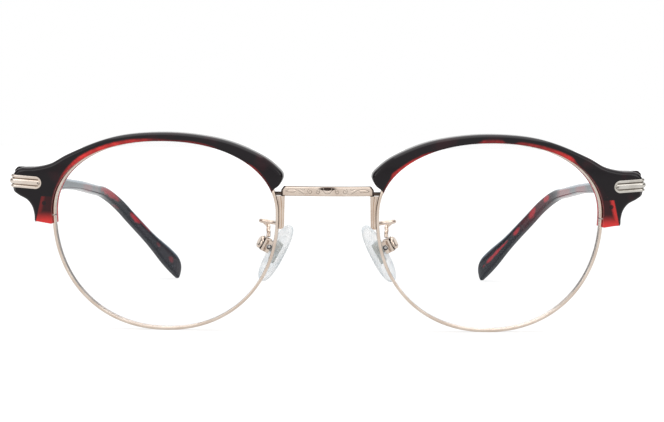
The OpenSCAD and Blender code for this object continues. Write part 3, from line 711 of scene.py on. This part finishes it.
# %% Relief of a plaque
ribs = [(0.0, 0.21, trim_proud), (0.395, 0.125, 0.6 * trim_proud), (-0.395, 0.125, 0.6 * trim_proud)]


def trim_out(t, z):
    """How far the plaque stands out at a run t and a height z from its middle line."""
    out = 0.1
    for level, half, proud in ribs:
        middle, half = level * trim_height, half * trim_height
        nose = 0.32 + (0.35 if level else 0.0) + half
        away = hypot(min(t - nose, 0.0), z - middle) / half
        if away < 1:
            out = max(out, 0.1 + (proud - 0.1) * (1 - away**3.2) ** 0.5)
    return out


# %% Sections of a plaque, from its inner end
trim_half = trim_height / 2
runs = [trim_half * (1 - cos(radians(90 * i / 14))) for i in range(1, 15)]
runs += [trim_half + (front_run - trim_half) * i / 24 for i in range(1, 25)]
runs += [front_run + corner_run * i / 12 for i in range(1, 13)]
runs += [front_run + corner_run + side_run * i / 5 for i in range(1, 6)]
tilt = (Matrix.Translation((end_reach - 3.5, 0, end_level)) @ turn("Y", -trim_lean)
        @ Matrix.Translation((3.5 - end_reach, 0, -end_level)))
trim_rings = []
for t in runs:
    half = sqrt(max(trim_half**2 - max(trim_half - t, 0) ** 2, 0.0004))
    ring = []
    for i in range(49):
        z = half * (i / 24 - 1)
        edge_drop = 0.1 if i in (0, 48) else 0.0
        x, y = trim_spot(t, trim_out(t, z * 0.999) - edge_drop)
        ring.append(tilt @ Vector((x, y, end_level + z)))
    for z in (half, -half):
        x, y = trim_spot(t, -0.85)
        ring.append(tilt @ Vector((x, y, end_level + z)))
    trim_rings.append(ring)
print("plaque:", len(trim_rings), "stations of", len(trim_rings[0]), "points")

# %% Both plaques
def clamp(value):
    return min(max(value, 0.0), 1.0)


plaque_metal = {"left": silver_gold, "right": pale_gold}
valley_level, valley_half = 0.672, 0.16
for side, place in SIDES.items():
    plaque = finish_piece(sweep(trim_rings, place @ EYE), side + "_plaque", plaque_metal[side],
                          "front", [side + "_end_trim"], sharp=55)
    # painted shade darkens the valleys between the ribs, a spot before the middle rib and the edge of the
    # round inner end
    valley_shade = []
    for p in drawn_spots(plaque, place @ EYE @ tilt):
        level, run = abs(p.z - end_level), p.x - trim_start
        groove = max(0.0, 1 - abs(level - valley_level) / valley_half) * clamp((run - 0.5) / 0.4)
        nose = max(0.0, 1 - hypot(run - 0.72, level * 0.9) / 0.36)
        brim_shade = max(0.0, (hypot(min(run - trim_half, 0.0), level) - trim_half) / valley_half + 1)
        valley_shade.append(min(1.0, 0.9 * groove + nose + 0.7 * brim_shade))
    paint(plaque, "shade", valley_shade)

# %% [markdown]
# ## Bridge
# The bridge is a bar, bowed a little forward, with turned down ends. Its front is engraved with
# scrolls, an old ornament of eyewear. A graver leaves a narrow groove, so the vertices of the front
# are pushed in wherever a scroll line passes near. A painted shade darkens the grooves, the ends and
# the top and bottom edges, and a darker patch is painted in the middle of the front.

# %% Scroll lines of the engraving
bridge_half, bridge_height, bridge_thick, bridge_bow, bridge_level = 10.15, 2.15, 1.5, 0.9, 5.22
bridge_set_back = 0.3
line_half = 0.16
bridge_radius = (bridge_half**2 + bridge_bow**2) / (2 * bridge_bow)


def spiral(x, z, start, turns, small, large, sense=1):
    """Points of a spiral round x and z, from its eye outwards."""
    points = []
    for i in range(41):
        a = radians(start) + sense * 2 * pi * turns * i / 40
        r = small + (large - small) * i / 40
        points.append((x + r * cos(a), z + r * sin(a)))
    return points


stems = [
    [(9.1, 0.0), (8.4, 0.33), (7.4, 0.42), (6.4, 0.2), (5.7, -0.2), (5.0, -0.55), (4.4, -0.5)],
    [(9.1, 0.0), (8.3, -0.22), (7.4, -0.2), (6.9, 0.0)], [(6.2, -0.45), (5.7, -0.62), (5.1, -0.75)],
    [(5.9, 0.5), (5.3, 0.25), (4.9, 0.45)], [(3.0, -0.55), (2.5, -0.7), (1.9, -0.62)],
    [(1.3, 0.45), (0.9, 0.1), (0.5, -0.35), (0.0, -0.5)], [(0.9, 0.6), (0.4, 0.25), (0.0, 0.15)]]
scrolls = spiral(3.75, 0.0, 0, 1.2, 0.14, 0.6) + spiral(2.15, -0.05, 180, 1.1, 0.12, 0.5, -1)
for stem in stems:
    scrolls += [tuple(p) for p in smooth_line([Vector(p) for p in stem], 10)]
print("the graver follows", len(scrolls), "points on each half")
tree_of_lines = KDTree(len(scrolls))
for i, (x, z) in enumerate(scrolls):
    tree_of_lines.insert((x, 0, z), i)
tree_of_lines.balance()


def carved(x, z):
    """How deep the graver went at a spot of the front, from 0 to 1."""
    away = tree_of_lines.find((abs(x), 0, z))[2]
    return max(0.0, 1 - away / line_half)


# %% Sections of the bar, with their relief
bar_half, bar_deep = bridge_height / 2, bridge_thick / 2
bar_front = [(-bar_deep, (bar_half - 0.27) * (1 - i / 10)) for i in range(21)]
bar_under = [(-bar_deep + 0.33, -bar_half + 0.13), (-bar_deep + 0.42, -bar_half + 0.04),
             (-bar_deep + 0.55, -bar_half), (bar_deep - 0.3, -bar_half),
             (bar_deep - 0.08, -bar_half + 0.08), (bar_deep, -bar_half + 0.3)]
bar_section = bar_front + bar_under + [(deep, -z) for deep, z in reversed(bar_under)]
scroll_depth, front_round = 0.15, 0.34
bar_steps = 210
bar_rings = []
for step in range(bar_steps + 1):
    share = 2 * step / bar_steps - 1
    ring = []
    for i, (deep, z) in enumerate(bar_section):
        ends = bridge_half - 0.02 - 0.7 * (max(0.0, z - 0.05) / 1.03) ** 2
        ends -= 0.12 * max(0.0, abs(deep) - 0.45) / 0.3
        x = share * ends
        if i < len(bar_front):
            deep += scroll_depth * carved(x, z) + front_round * (z / bar_half) ** 2
        a, reach = x / bridge_radius, bridge_radius - deep
        y = bridge_radius - bridge_set_back - reach * cos(a)
        ring.append(Vector((reach * sin(a), y, bridge_level + z)))
    bar_rings.append(ring)

# %% The bar and its darker places
bar = finish_piece(sweep(bar_rings, METRES @ FRONT), "bridge_bar", rose_gold,
                   "front", ["bridge"], sharp=60)
# painted shade: the ends, the top edge, a line along the bottom and the engraved grooves are darkened, and a
# dark patch is painted in the middle of the front
bar_shade = []
for p in drawn_spots(bar, METRES @ FRONT):
    level = p.z - bridge_level
    front_side = hypot(p.x, bridge_radius - bridge_set_back - p.y) > bridge_radius + 0.55
    end = clamp((abs(p.x) - bridge_half + 0.6 + 0.7 * max(0.0, level) ** 2) / 0.25)
    edge = max(0.95 * end, 0.75 * clamp((level - 0.72) / 0.25), 0.4 * (level < -0.9))
    middle_patch = max(0.0, 1 - hypot(p.x / 2.6, (level - 0.62) / 0.42))
    bar_shade.append(min(1.0, max(edge, (0.75 * carved(p.x, level) + 2 * middle_patch) * front_side)))
paint(bar, "shade", bar_shade)

# %% [markdown]
# ## Nasal plates
# Under each end of the bar a plate runs down beside the rim. It is brazed to both and carries the
# pad arm. Its front has two upright flutes, and its lower inner corner is rounded off.

# %% Wires
def tube_rings(line, radius, sides):
    """Rings square to a line, turned as little as possible from one to the next."""
    way = (line[1] - line[0]).normalized()
    across = way.cross(Vector((0, 0, 1))).normalized()
    rings = []
    for i, p in enumerate(line):
        way = (line[min(i + 1, len(line) - 1)] - line[max(i - 1, 0)]).normalized()
        across = (across - across.dot(way) * way).normalized()
        up = across.cross(way)
        angles = [2 * pi * k / sides for k in range(sides)]
        rings.append([p + radius * (cos(a) * across + sin(a) * up) for a in angles])
    return rings


# %% Sections of a plate, from its foot to its top
plate_x = eye_offset - eye_nose - rim_wall - 0.5
plate_top, plate_foot = bridge_level - bridge_height / 2 - 0.02, -3.1
plate_front, plate_back = -0.15, 1.65
rim_to_plate = rim_wall + 0.02
inner_line = [(plate_foot, 0.15), (plate_foot + 0.15, 0.48), (plate_foot + 0.5, 0.7), (plate_top, 0.85)]
flute_depth, flute_from, flute_to = 0.192, 0.1, 0.9


def plate_outer(z):
    """Where the plate meets the rim, in the frame of the front."""
    up = (eye_lower if z < 0 else eye_upper) + rim_to_plate
    reach = (eye_nose + rim_to_plate) * (1 - abs(z / up) ** eye_power) ** (1 / eye_power)
    return eye_offset + (turn("Z", wrap_angle) @ Vector((-reach, sag(reach) + 0.2, 0))).x


plate_rings = []
for i in range(41):
    z = plate_foot + (plate_top - plate_foot) * i / 40
    inner, outer = plate_x - interpolate(inner_line, z), plate_outer(z)
    ring = []
    for k in range(25):
        share = k / 24
        flute = abs(sin((share - flute_from) / (flute_to - flute_from) * 2 * pi)) ** 0.6
        flute *= flute_depth * (flute_from < share < flute_to)
        edge_turn = 0.25 * (1 - min(1.0, share / 0.14)) ** 2
        ring.append(Vector((inner + (outer - inner) * share, plate_front + flute + edge_turn, z)))
    ring += [Vector((outer, plate_back, z)), Vector(((inner + outer) / 2, plate_back, z)),
             Vector((inner + 0.15, plate_back, z)), Vector((inner, plate_back - 0.2, z))]
    plate_rings.append(ring)
print("plate:", len(plate_rings), "stations of", len(plate_rings[0]), "points")

# %% Both plates, each with the strut that is brazed to the bar
strut_level, strut_radius = plate_top + 0.52, 0.4
strut_line = [Vector((x, 0.75, strut_level)) for x in (bridge_half - 0.5, plate_outer(strut_level) + 0.2)]
strut_rings = tube_rings(strut_line, strut_radius, 14)
for side, place in SIDES.items():
    here = place @ FRONT
    plate = with_boolean(sweep(plate_rings, here), sweep(strut_rings, here), "UNION")
    plate = finish_piece(plate, side + "_fluted_plate", rose_gold, "front",
                         [side + "_nasal_plate"], sharp=50)
    # painted shade: the strut over the plate top is dark, and the outer edge of the plate a little darker
    shade = []
    for p in drawn_spots(plate, here):
        shade.append(0.85 if p.z > plate_top + 0.02 else 0.08 * (p.x > plate_outer(p.z) - 0.25))
    paint(plate, "shade", shade)

# %% [markdown]
# ## Pad arms
# A pad arm is a soft wire bent into a gooseneck: back from the plate, out and round a loop, and down
# to the box that holds the pad. It is brazed at both ends, so the optician can bend it in between.

# %% Pad arms
pad_length, pad_width, pad_thick = 14.0, 7.4, 3.1
pad_lean, pad_turn = 28.5, 18.0
pad_spot = Vector((11.6, 6.4, -9.6))
box_x, box_z = 2.6, 1.1
arm_radius = 0.45
PAD_IN_FRONT = Matrix.Translation(pad_spot) @ turn("Y", -pad_lean) @ turn("Z", -pad_turn)
PAD = FRONT @ PAD_IN_FRONT
arm_points = [(0.15, plate_back + 0.03, -2.3), (0.5, 3, -2.3), (1.7, 4.5, -2.25), (3.2, 5.3, -2.12),
              (4.3, 6, -2.08), (4.65, 7, -2.18), (3.95, 8, -2.555), (3, 7.9, -3.5), (3, 6.8, -4.1),
              (2.85, 5.75, -4.65)]
arm_points = [Vector((plate_x + x, y, z)) for x, y, z in arm_points]
arm_points.append(PAD_IN_FRONT @ Vector((box_x + 0.8, 0, box_z + 1.8)))
arm_line = smooth_line(arm_points, 8)

arm_rings = tube_rings(arm_line, arm_radius, 16)
for side, place in SIDES.items():
    finish_piece(sweep(arm_rings, place @ FRONT), side + "_arm_wire", drawn_gold,
                 "front", [side + "_pad_arm"], sharp=60)

# %% [markdown]
# ## Nose pads
# The pads are pressed from clear silicone round a grey-green core. They are lens-shaped, thick in
# the middle and soft at the edge, and bluish where the light passes through most material. Clear
# silicone is shown by mixing a glossy pale body with see-through, more of the body at the edge.

# %% Silicone and core
def clear_silicone():
    material, tree, shader = new_material("pad_silicone", Roughness=0.12, IOR=1.42, Specular_IOR_Level=0.5)
    cloud = between(tree, noise(tree, 500, 3), 0.35, 0.7)
    feed(tree, shader.inputs["Base Color"], mix(tree, cloud, (0.97, 0.99, 1.0, 1), (0.74, 0.84, 0.90, 1)))
    facing = product(tree, add(tree, "LayerWeight", result="Facing", Blend=0.35), 0.65)
    body = total(tree, 0.1, facing, product(tree, cloud, 0.22))
    see_through(tree, shader, calc(tree, "MINIMUM", body, 0.9))
    return material


def matt_core():
    material, tree, shader = new_material("pad_core", Roughness=0.55)
    grain = noise(tree, 1800, 3)
    tint = mix(tree, between(tree, grain, 0.3, 0.7), (0.66, 0.67, 0.63, 1), (0.48, 0.50, 0.46, 1))
    feed(tree, shader.inputs["Base Color"], tint)
    feed(tree, shader.inputs["Normal"], bump(tree, grain, 0.2, 0.00005))
    return material


pad_clear, core_matt = clear_silicone(), matt_core()
print("pads:", pad_clear.name, core_matt.name)

# %% Pads
pad_steps, pad_sides = 22, 36
pad_rings = []
for i in range(-pad_steps, pad_steps + 1):
    u = sin(radians(i * 90 / pad_steps))
    full = sqrt(max(1 - abs(u) ** 2.4, 0.004))
    wide = pad_width / 2 * full * (1 - 0.1 * u)
    thick = pad_thick / 2 * full**0.7
    angles = [2 * pi * k / pad_sides for k in range(pad_sides)]
    pad_rings.append([Vector((thick * cos(a), wide * sin(a), 0.35 + u * pad_length / 2)) for a in angles])

for side, place in SIDES.items():
    finish_piece(sweep(pad_rings, place @ PAD), side + "_silicone_pad", pad_clear,
                 side + "_pad", [side + "_nose_pad"], sharp=60)

# %% [markdown]
# ## Pad holders and their screws
# A pad hangs in a small plated holder: a block with an upright slit, which takes the eye of the
# core, and a round knob behind it. Block and knob are one sweep, whose section turns from a square
# to a circle, and the slit and the hole of the screw are cut as in the workshop. The screw is made
# as on a lathe. Its end has a small recess, whose wall carries a painted shade, a dark ring round a
# bottom of plain metal. A painted shade also darkens the groove between block and knob.

# %% Profiles of a holder and its screw
def turned(profile, sides):
    """Rings round the y axis from pairs of y and radius, as a lathe cuts them."""
    angles = [2 * pi * k / sides for k in range(sides)]
    return [[Vector((r * cos(a), y, r * sin(a))) for a in angles] for y, r in profile]


square = [Vector(p) for p in rounded_section(1.25, 1.5, 0.24)]
square = [a.lerp(b, k / 5) for a, b in zip(square, square[1:] + square[:1]) for k in range(5)]
block_run = [(-0.6, 0.93), (-0.57, 0.98), (-0.5, 1.0), (0.4, 1.0), (1.34, 1.0), (1.42, 0.97), (1.46, 0.9)]
knob_run = [(1.46, 1.0), (1.58, 1.0), (1.62, 1.28), (1.68, 1.38), (1.78, 1.42), (1.98, 1.4), (2.12, 1.28),
            (2.22, 1.0), (2.26, 0.6), (2.27, 0.05)]
holder_rings = [[Vector((x, *(p * size))) for p in square] for x, size in block_run]
holder_rings += [[Vector((x, *(p.normalized() * r))) for p in square] for x, r in knob_run]
slit_half, slit_bottom = 0.55, 0.75
slit_corners = [(-slit_half, -2), (slit_half, -2), (slit_half, 2), (-slit_half, 2)]
slit_rings = [[Vector((x, y, z)) for y, z in slit_corners] for x in (-2.0, slit_bottom)]
hole_rings = turned([(-3, 0.44), (3, 0.44)], 24)
screw_rings = turned([(1.2, 0.38), (1.16, 0.4), (-1.28, 0.4), (-1.28, 0.6), (-1.3, 0.62), (-1.5, 0.62),
                      (-1.57, 0.58), (-1.6, 0.54), (-1.58, 0.5), (-1.48, 0.45), (-1.42, 0.36), (-1.44, 0.31),
                      (-1.47, 0.24), (-1.49, 0.1)], 32)
print("holder and screw:", len(holder_rings), "and", len(screw_rings), "stations")

# %% Both holders with their screws
for side, place in SIDES.items():
    spot = place @ PAD @ Matrix.Translation((box_x, 0, box_z))
    holder = sweep(holder_rings, spot)
    for cut in (slit_rings, hole_rings):
        holder = with_boolean(holder, sweep(cut, spot), "DIFFERENCE")
    holder = finish_piece(holder, side + "_pad_holder", drawn_gold, "front",
                          [side + "_pad_box"])
    # painted shade between block and knob
    neck_shade = [0.9 if 1.44 < p.x < 1.6 else 0.25 * (1.3 < p.x < 1.7) for p in drawn_spots(holder, spot)]
    paint(holder, "shade", neck_shade)
    screw = finish_piece(sweep(screw_rings, spot), side + "_pad_screw_steel", steel, "front",
                         [side + "_pad_screw"], sharp=50)
    # painted shade on the wall of the recess: a dark ring round a bottom of plain metal
    recess = [0.95 * (p.y < -1.4 and 0.33 < hypot(p.x, p.z) < 0.57) for p in drawn_spots(screw, spot)]
    paint(screw, "shade", recess)

# %% [markdown]
# ## Small fittings
# Closing blocks, hinges, rivets, the other screws and the cores of the pads already have their true
# shape in the model. Real ones have no sharp edge, so a copy of each mesh is merged, its flat faces
# are joined, and a small bevel catches the light. The copy stands for the node. The stiffening wires
# are round already and only get the steel.

# %% Dress a fitting
def dress(node, name, material, body, width):
    """A copy of a node with its edges bevelled by a width in millimetres."""
    bm = bmesh.new()
    bm.from_mesh(frame["nodes"][node].data)
    bmesh.ops.remove_doubles(bm, verts=bm.verts, dist=0.000002)
    bmesh.ops.dissolve_limit(bm, angle_limit=radians(1.5), verts=bm.verts, edges=bm.edges)
    edges = [e for e in bm.edges if e.is_manifold and e.calc_face_angle(0) > radians(40)]
    bmesh.ops.bevel(bm, geom=edges, offset=width / 1000, segments=2, profile=0.5, affect="EDGES",
                    material=-1, clamp_overlap=True)
    return finish_piece(bm, name, material, body, [node], sharp=38)


steel_bevels = {"closing_screw": 0.03, "brow_screw": 0.03, "front_hinge": 0.08, "front_rivets": 0.03,
                "hinge_screw": 0.04, "temple_hinge": 0.08, "temple_rivets": 0.03}
for side in SIDES:
    for level in ("upper", "lower"):
        dress(f"{side}_{level}_closing_block", f"{side}_{level}_block", rose_gold,
              "front", 0.1)
    for node, width in steel_bevels.items():
        body = side + "_side" if node.startswith("temple") else "front"
        dress(f"{side}_{node}", f"{side}_{node}_steel", steel, body, width)
    dress(side + "_pad_insert", side + "_pad_core_block", core_matt, side + "_pad", 0.08)
    wire = frame["nodes"][side + "_core_wire"]
    wire.data.materials.clear()
    wire.data.materials.append(steel)

# %% [markdown]
# ## Temples
# A temple is cut from the same kind of sheet as the brow, with a stiffening wire shot into its
# straight part. It is heated and bent down behind the ear and a little inwards, and its tip widens
# into a paddle. The section has flat sides and soft bevels, and tapers along the way.

# %% Course of a temple
temple_length, bend_start, temple_bend, tip_inward = 141.0, 89.5, 34.0, 30.5
slim, tip_height = 2.4, 5.3
paddle_start, paddle_end = temple_length - 18, temple_length - 10
heights = [(0, temple_height / 2), (12, temple_height / 2 - 0.2), (40, slim / 2 + 0.1), (60, slim / 2),
           (bend_start, 1.34), (bend_start + 8.5, 1.49), (bend_start + 22.5, 1.57), (bend_start + 31.5, 1.62),
           (bend_start + 34.5, 1.7), (paddle_start + 5, 2.06), (paddle_start + 9, 2.52),
           (paddle_end + 5, tip_height / 2)]
widths = [(12, temple_thick / 2), (60, temple_thick / 2 - 0.45), (bend_start + 23, temple_thick / 2 - 0.7)]
rises = [(0, 0), (12, 0.1), (40, 0.45), (60, 0.7), (bend_start, 0.15), (bend_start + 8.5, 0.11),
         (bend_start + 14.5, 0.2), (bend_start + 22.5, 0.415), (bend_start + 26.5, 0.46),
         (paddle_start + 1, 0.46), (paddle_start + 5, 0.56), (paddle_end + 5, 0.6), (temple_length, 0.68)]
print("a temple is", temple_length, "mm long and bends from", bend_start, "mm")


# %% Sections of a temple
def heading(s):
    """The ways outward, upward and onward at a run s along the temple."""
    inward = radians(tip_inward * clamp((s - bend_start + 5) / 30))
    down = radians(temple_bend * clamp((s - bend_start) / 20))
    out = Vector((cos(inward), sin(inward), 0))
    onward = Vector((-sin(inward) * cos(down), cos(inward) * cos(down), -sin(down)))
    return out, out.cross(onward), onward


def gentle(table, s):
    """A value from a table with its corners eased over a few millimetres."""
    return sum(interpolate(table, s + d) for d in (-2, -1, 0, 1, 2)) / 5


def temple_ring(middle, s):
    out, up, onward = heading(s)
    tip_round = sqrt(max(1 - clamp((s - temple_length + 6) / 6.2) ** 2.5, 0.06))
    table = interpolate if s < 2 else gentle
    half = table(heights, s)
    rise = table(rises, s) - (1 - tip_round) * half
    half_width = table(widths, s) * (0.4 + 0.6 * tip_round)
    half *= tip_round
    cut = min(0.45 * half, 0.45 * half_width, 0.8)
    return [middle + x * out + (z + rise) * up for x, z in rounded_section(half_width, half, cut)]


# %% Stations of a temple
temple_stations, middle, s = [], Vector((0, 0, 0)), 0.0
fine_step = 0.5
while s < temple_length - 0.01:
    temple_stations.append((middle.copy(), s))
    middle += fine_step * heading(s + fine_step / 2)[2]
    s += fine_step
temple_stations.append((middle, temple_length))
butt = 0.15
temple_rings = [temple_ring(p, s) for p, s in temple_stations if s > 0.6]
first_ring = temple_ring(Vector((0, 0, 0)), 0)
for back, shrink in ((butt + 0.3, 0.0), (butt + 0.08, 0.02), (butt, 0.06)):
    temple_rings.insert(0, [Vector((p.x * (1 - shrink), back, p.z * (1 - shrink))) for p in first_ring])
print("temple tip", [round(v, 2) for v in middle])

# %% [markdown]
# The temples are a darker tortoise: charcoal with clear red patches that show from the bend to the
# tip. Each temple stores its run from the hinge and its height at every vertex, and each patch is
# an ellipse in those two with an edge that noise breaks up. Seen at a low angle, the front half gets
# a pale bluish painted sheen for the polish that mirrors the room, and the upper edge a bluish
# painted highlight, which stays at half strength from the bend to the tip.

# %% Acetate of the temples
patches = {  # run from the hinge, height from -1 to 1, half length, half height, strength
    "right": [(68, 0, 7, 3, 0.4), (81, 0.3, 3, 1, 0.15), (95.5, 0.3, 7.5, 0.85, 0.8),
              (104, -1.0, 2.5, 0.2, 0.6), (113, 0.35, 2.4, 0.55, 1.0), (118, 0.85, 4, 0.25, 0.5),
              (113, -1.0, 2.5, 0.18, 0.6), (126.5, 0.2, 1.2, 0.3, 0.2), (134, 0.1, 1.5, 0.35, 0.3)],
    "left": [(52, 0, 9, 3, 0.5), (78, 0, 12, 2, 0.55), (99, 0.15, 2.2, 0.7, 1.0),
             (108.5, 0.15, 2.6, 0.75, 1.0), (118, 0.1, 2.0, 0.5, 1.0), (105, 0, 12, 1.6, 0.16),
             (129.5, 0.12, 6.5, 0.24, 0.95)]}
print("red patches:", {side: len(rows) for side, rows in patches.items()})


def acetate_temple(side):
    material, tree, shader = new_material(side + "_temple_acetate", IOR=1.49, Specular_IOR_Level=0.3,
                                          Specular_Tint=(0.8, 0.92, 1.0, 1))
    run, height = attribute(tree, "run"), attribute(tree, "height")
    rough_edge = product(tree, less(tree, noise(tree, 420, 3), 0.5), 1.3)
    patch = 0.0
    for s, z, half_run, half_height, strength in patches[side]:
        dx = calc(tree, "DIVIDE", less(tree, run, s), half_run)
        dz = calc(tree, "DIVIDE", less(tree, height, z), half_height)
        away = total(tree, distance(tree, dx, dz), rough_edge)
        patch = largest(tree, patch, between(tree, away, 0.45, 1.25, strength, 0.0))
    cloud = between(tree, noise(tree, 90, 2), 0.4, 0.65)
    dark = mix(tree, cloud, (0.009, 0.006, 0.009, 1), (0.022, 0.012, 0.017, 1))
    grazing = between(tree, add(tree, "LayerWeight", result="Facing", Blend=0.5), 0.5, 0.78)
    # painted sheen: at a low angle the front half turns pale bluish, for the polish that mirrors the room
    painted_sheen = product(tree, grazing, between(tree, run, 70, 100, 1.0, 0.0))
    dark = mix(tree, painted_sheen, dark, (0.085, 0.115, 0.135, 1))
    tint = mix(tree, patch, dark, (0.50, 0.018, 0.03, 1))
    # painted highlight: the upper edge turns bluish at a low angle, and half so from the bend on
    edge_highlight_reach = largest(tree, grazing, between(tree, run, 80, 100, 0.0, 0.5))
    upper_edge_highlight = product(tree, edge_highlight_reach, between(tree, height, 0.72, 1.08, 0.0, 0.8))
    feed(tree, shader.inputs["Base Color"], mix(tree, upper_edge_highlight, tint, (0.30, 0.40, 0.48, 1)))
    polish(tree, shader, (1, 0.3, 1), 0.07, 0.14)
    return material


# %% Both temples
run_tree = KDTree(len(temple_stations))
for i, (middle, s) in enumerate(temple_stations):
    run_tree.insert(middle, i)
run_tree.balance()
for side, place in SIDES.items():
    temple = finish_piece(sweep(temple_rings, place @ HINGE), side + "_temple_arm", acetate_temple(side),
                          side + "_side", [side + "_temple"], sharp=40)
    runs, across = [], []
    for p in drawn_spots(temple, place @ HINGE):
        middle, s = temple_stations[run_tree.find(p)[1]]
        out, up, onward = heading(s)
        runs.append(s + (p - middle).dot(onward))
        across.append((p - middle).dot(up) / gentle(heights, s))
    paint(temple, "run", runs)
    paint(temple, "height", across)

# %% [markdown]
# ## Studio
# The floor and the world are white where the camera or a lens looks at them. The light on the
# object itself is plain and soft: one wide lamp above, one on each side, and a pale world. What a
# polished surface mirrors of the world is darker to the sides and below, as with the black flags of
# a photographer. The floor adds a part of its white as a glow, so that a shadow only dims the rest.

# %% Floor
def grey(value):
    return (value, value, value, 1)


def white_floor():
    material, tree, shader = new_material("white_floor", Roughness=0.9, Specular_IOR_Level=0.0)
    tint = mix(tree, noise(tree, 40, 2), grey(0.34), grey(0.36))
    feed(tree, shader.inputs["Base Color"], tint)
    shader.inputs["Emission Color"].default_value = grey(1)
    spot = add(tree, "TexCoord", result="Object")
    away = add(tree, "VectorMath", result="Value", settings={"operation": "LENGTH"}, n0=spot)
    seen = largest(tree, ray(tree, "Camera"), ray(tree, "Transmission"))
    glow = product(tree, seen, between(tree, away, 0.25, 1.0, 0.68, 1.0))
    mirrored = product(tree, ray(tree, "Glossy"), 0.45)
    feed(tree, shader.inputs["Emission Strength"], largest(tree, glow, mirrored))
    return material


bm = bmesh.new()
bmesh.ops.create_grid(bm, x_segments=8, y_segments=8, size=6.0)
floor_mesh = bpy.data.meshes.new("floor")
bm.to_mesh(floor_mesh)
bm.free()
floor_mesh.materials.append(white_floor())
floor = bpy.data.objects.new("floor", floor_mesh)
bpy.context.scene.collection.objects.link(floor)
floor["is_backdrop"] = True
print("floor:", floor_mesh.materials[0].name)

# %% World
world = bpy.data.worlds.new("studio")
bpy.context.scene.world = world
world.use_nodes = True
sky = world.node_tree
sky.nodes.clear()
seen = largest(sky, ray(sky, "Camera"), ray(sky, "Transmission"))
way = add(sky, "TexCoord", result="Generated")
depth, height = (add(sky, "SeparateXYZ", result=axis, Vector=way) for axis in "YZ")
flags = between(sky, calc(sky, "ABSOLUTE", less(sky, depth, 0.1)), 0.3, 0.6, 0.18, 0.92)
wall = largest(sky, flags, between(sky, height, 0.56, 0.66))
glossy = ray(sky, "Glossy")
pale = product(sky, less(sky, 1.0, glossy), 0.8)
strength = largest(sky, seen, product(sky, glossy, wall), pale)
glow = add(sky, "Background", Color=grey(1), Strength=strength)
feed(sky, sky.nodes.new("ShaderNodeOutputWorld").inputs["Surface"], glow)
print("world:", world.name, "with", len(sky.nodes), "nodes")


# %% Lamps
def soft_lamp(name, spot, size, power):
    data = bpy.data.lights.new(name, "AREA")
    data.size, data.energy = size, power
    lamp = bpy.data.objects.new(name, data)
    lamp.location = spot
    lamp.rotation_euler = (-Vector(spot)).to_track_quat("-Z", "Y").to_euler()
    bpy.context.scene.collection.objects.link(lamp)
    print(name, power, "W")


soft_lamp("top_lamp", (0.0, -0.1, 1.0), 1.2, 5.5)
for side, x in (("left", 0.9), ("right", -0.9)):
    soft_lamp(side + "_lamp", (x, -0.5, 0.45), 0.5, 1.2)
bpy.context.scene.view_settings.view_transform = "Standard"

# %% [markdown]
# ## Measure and finish
# The box of the dressed model is measured and set against that of the imported one, and the
# largest difference is printed. The dressed model has to stay inside the box of the imported one.

# %% Compare the two boxes
dressed_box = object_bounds()
apart = [abs(a - b) * 1000 for cad, seen in zip(cad_box, dressed_box) for a, b in zip(cad, seen)]
print("the boxes differ by at most", round(max(apart), 2), "mm")
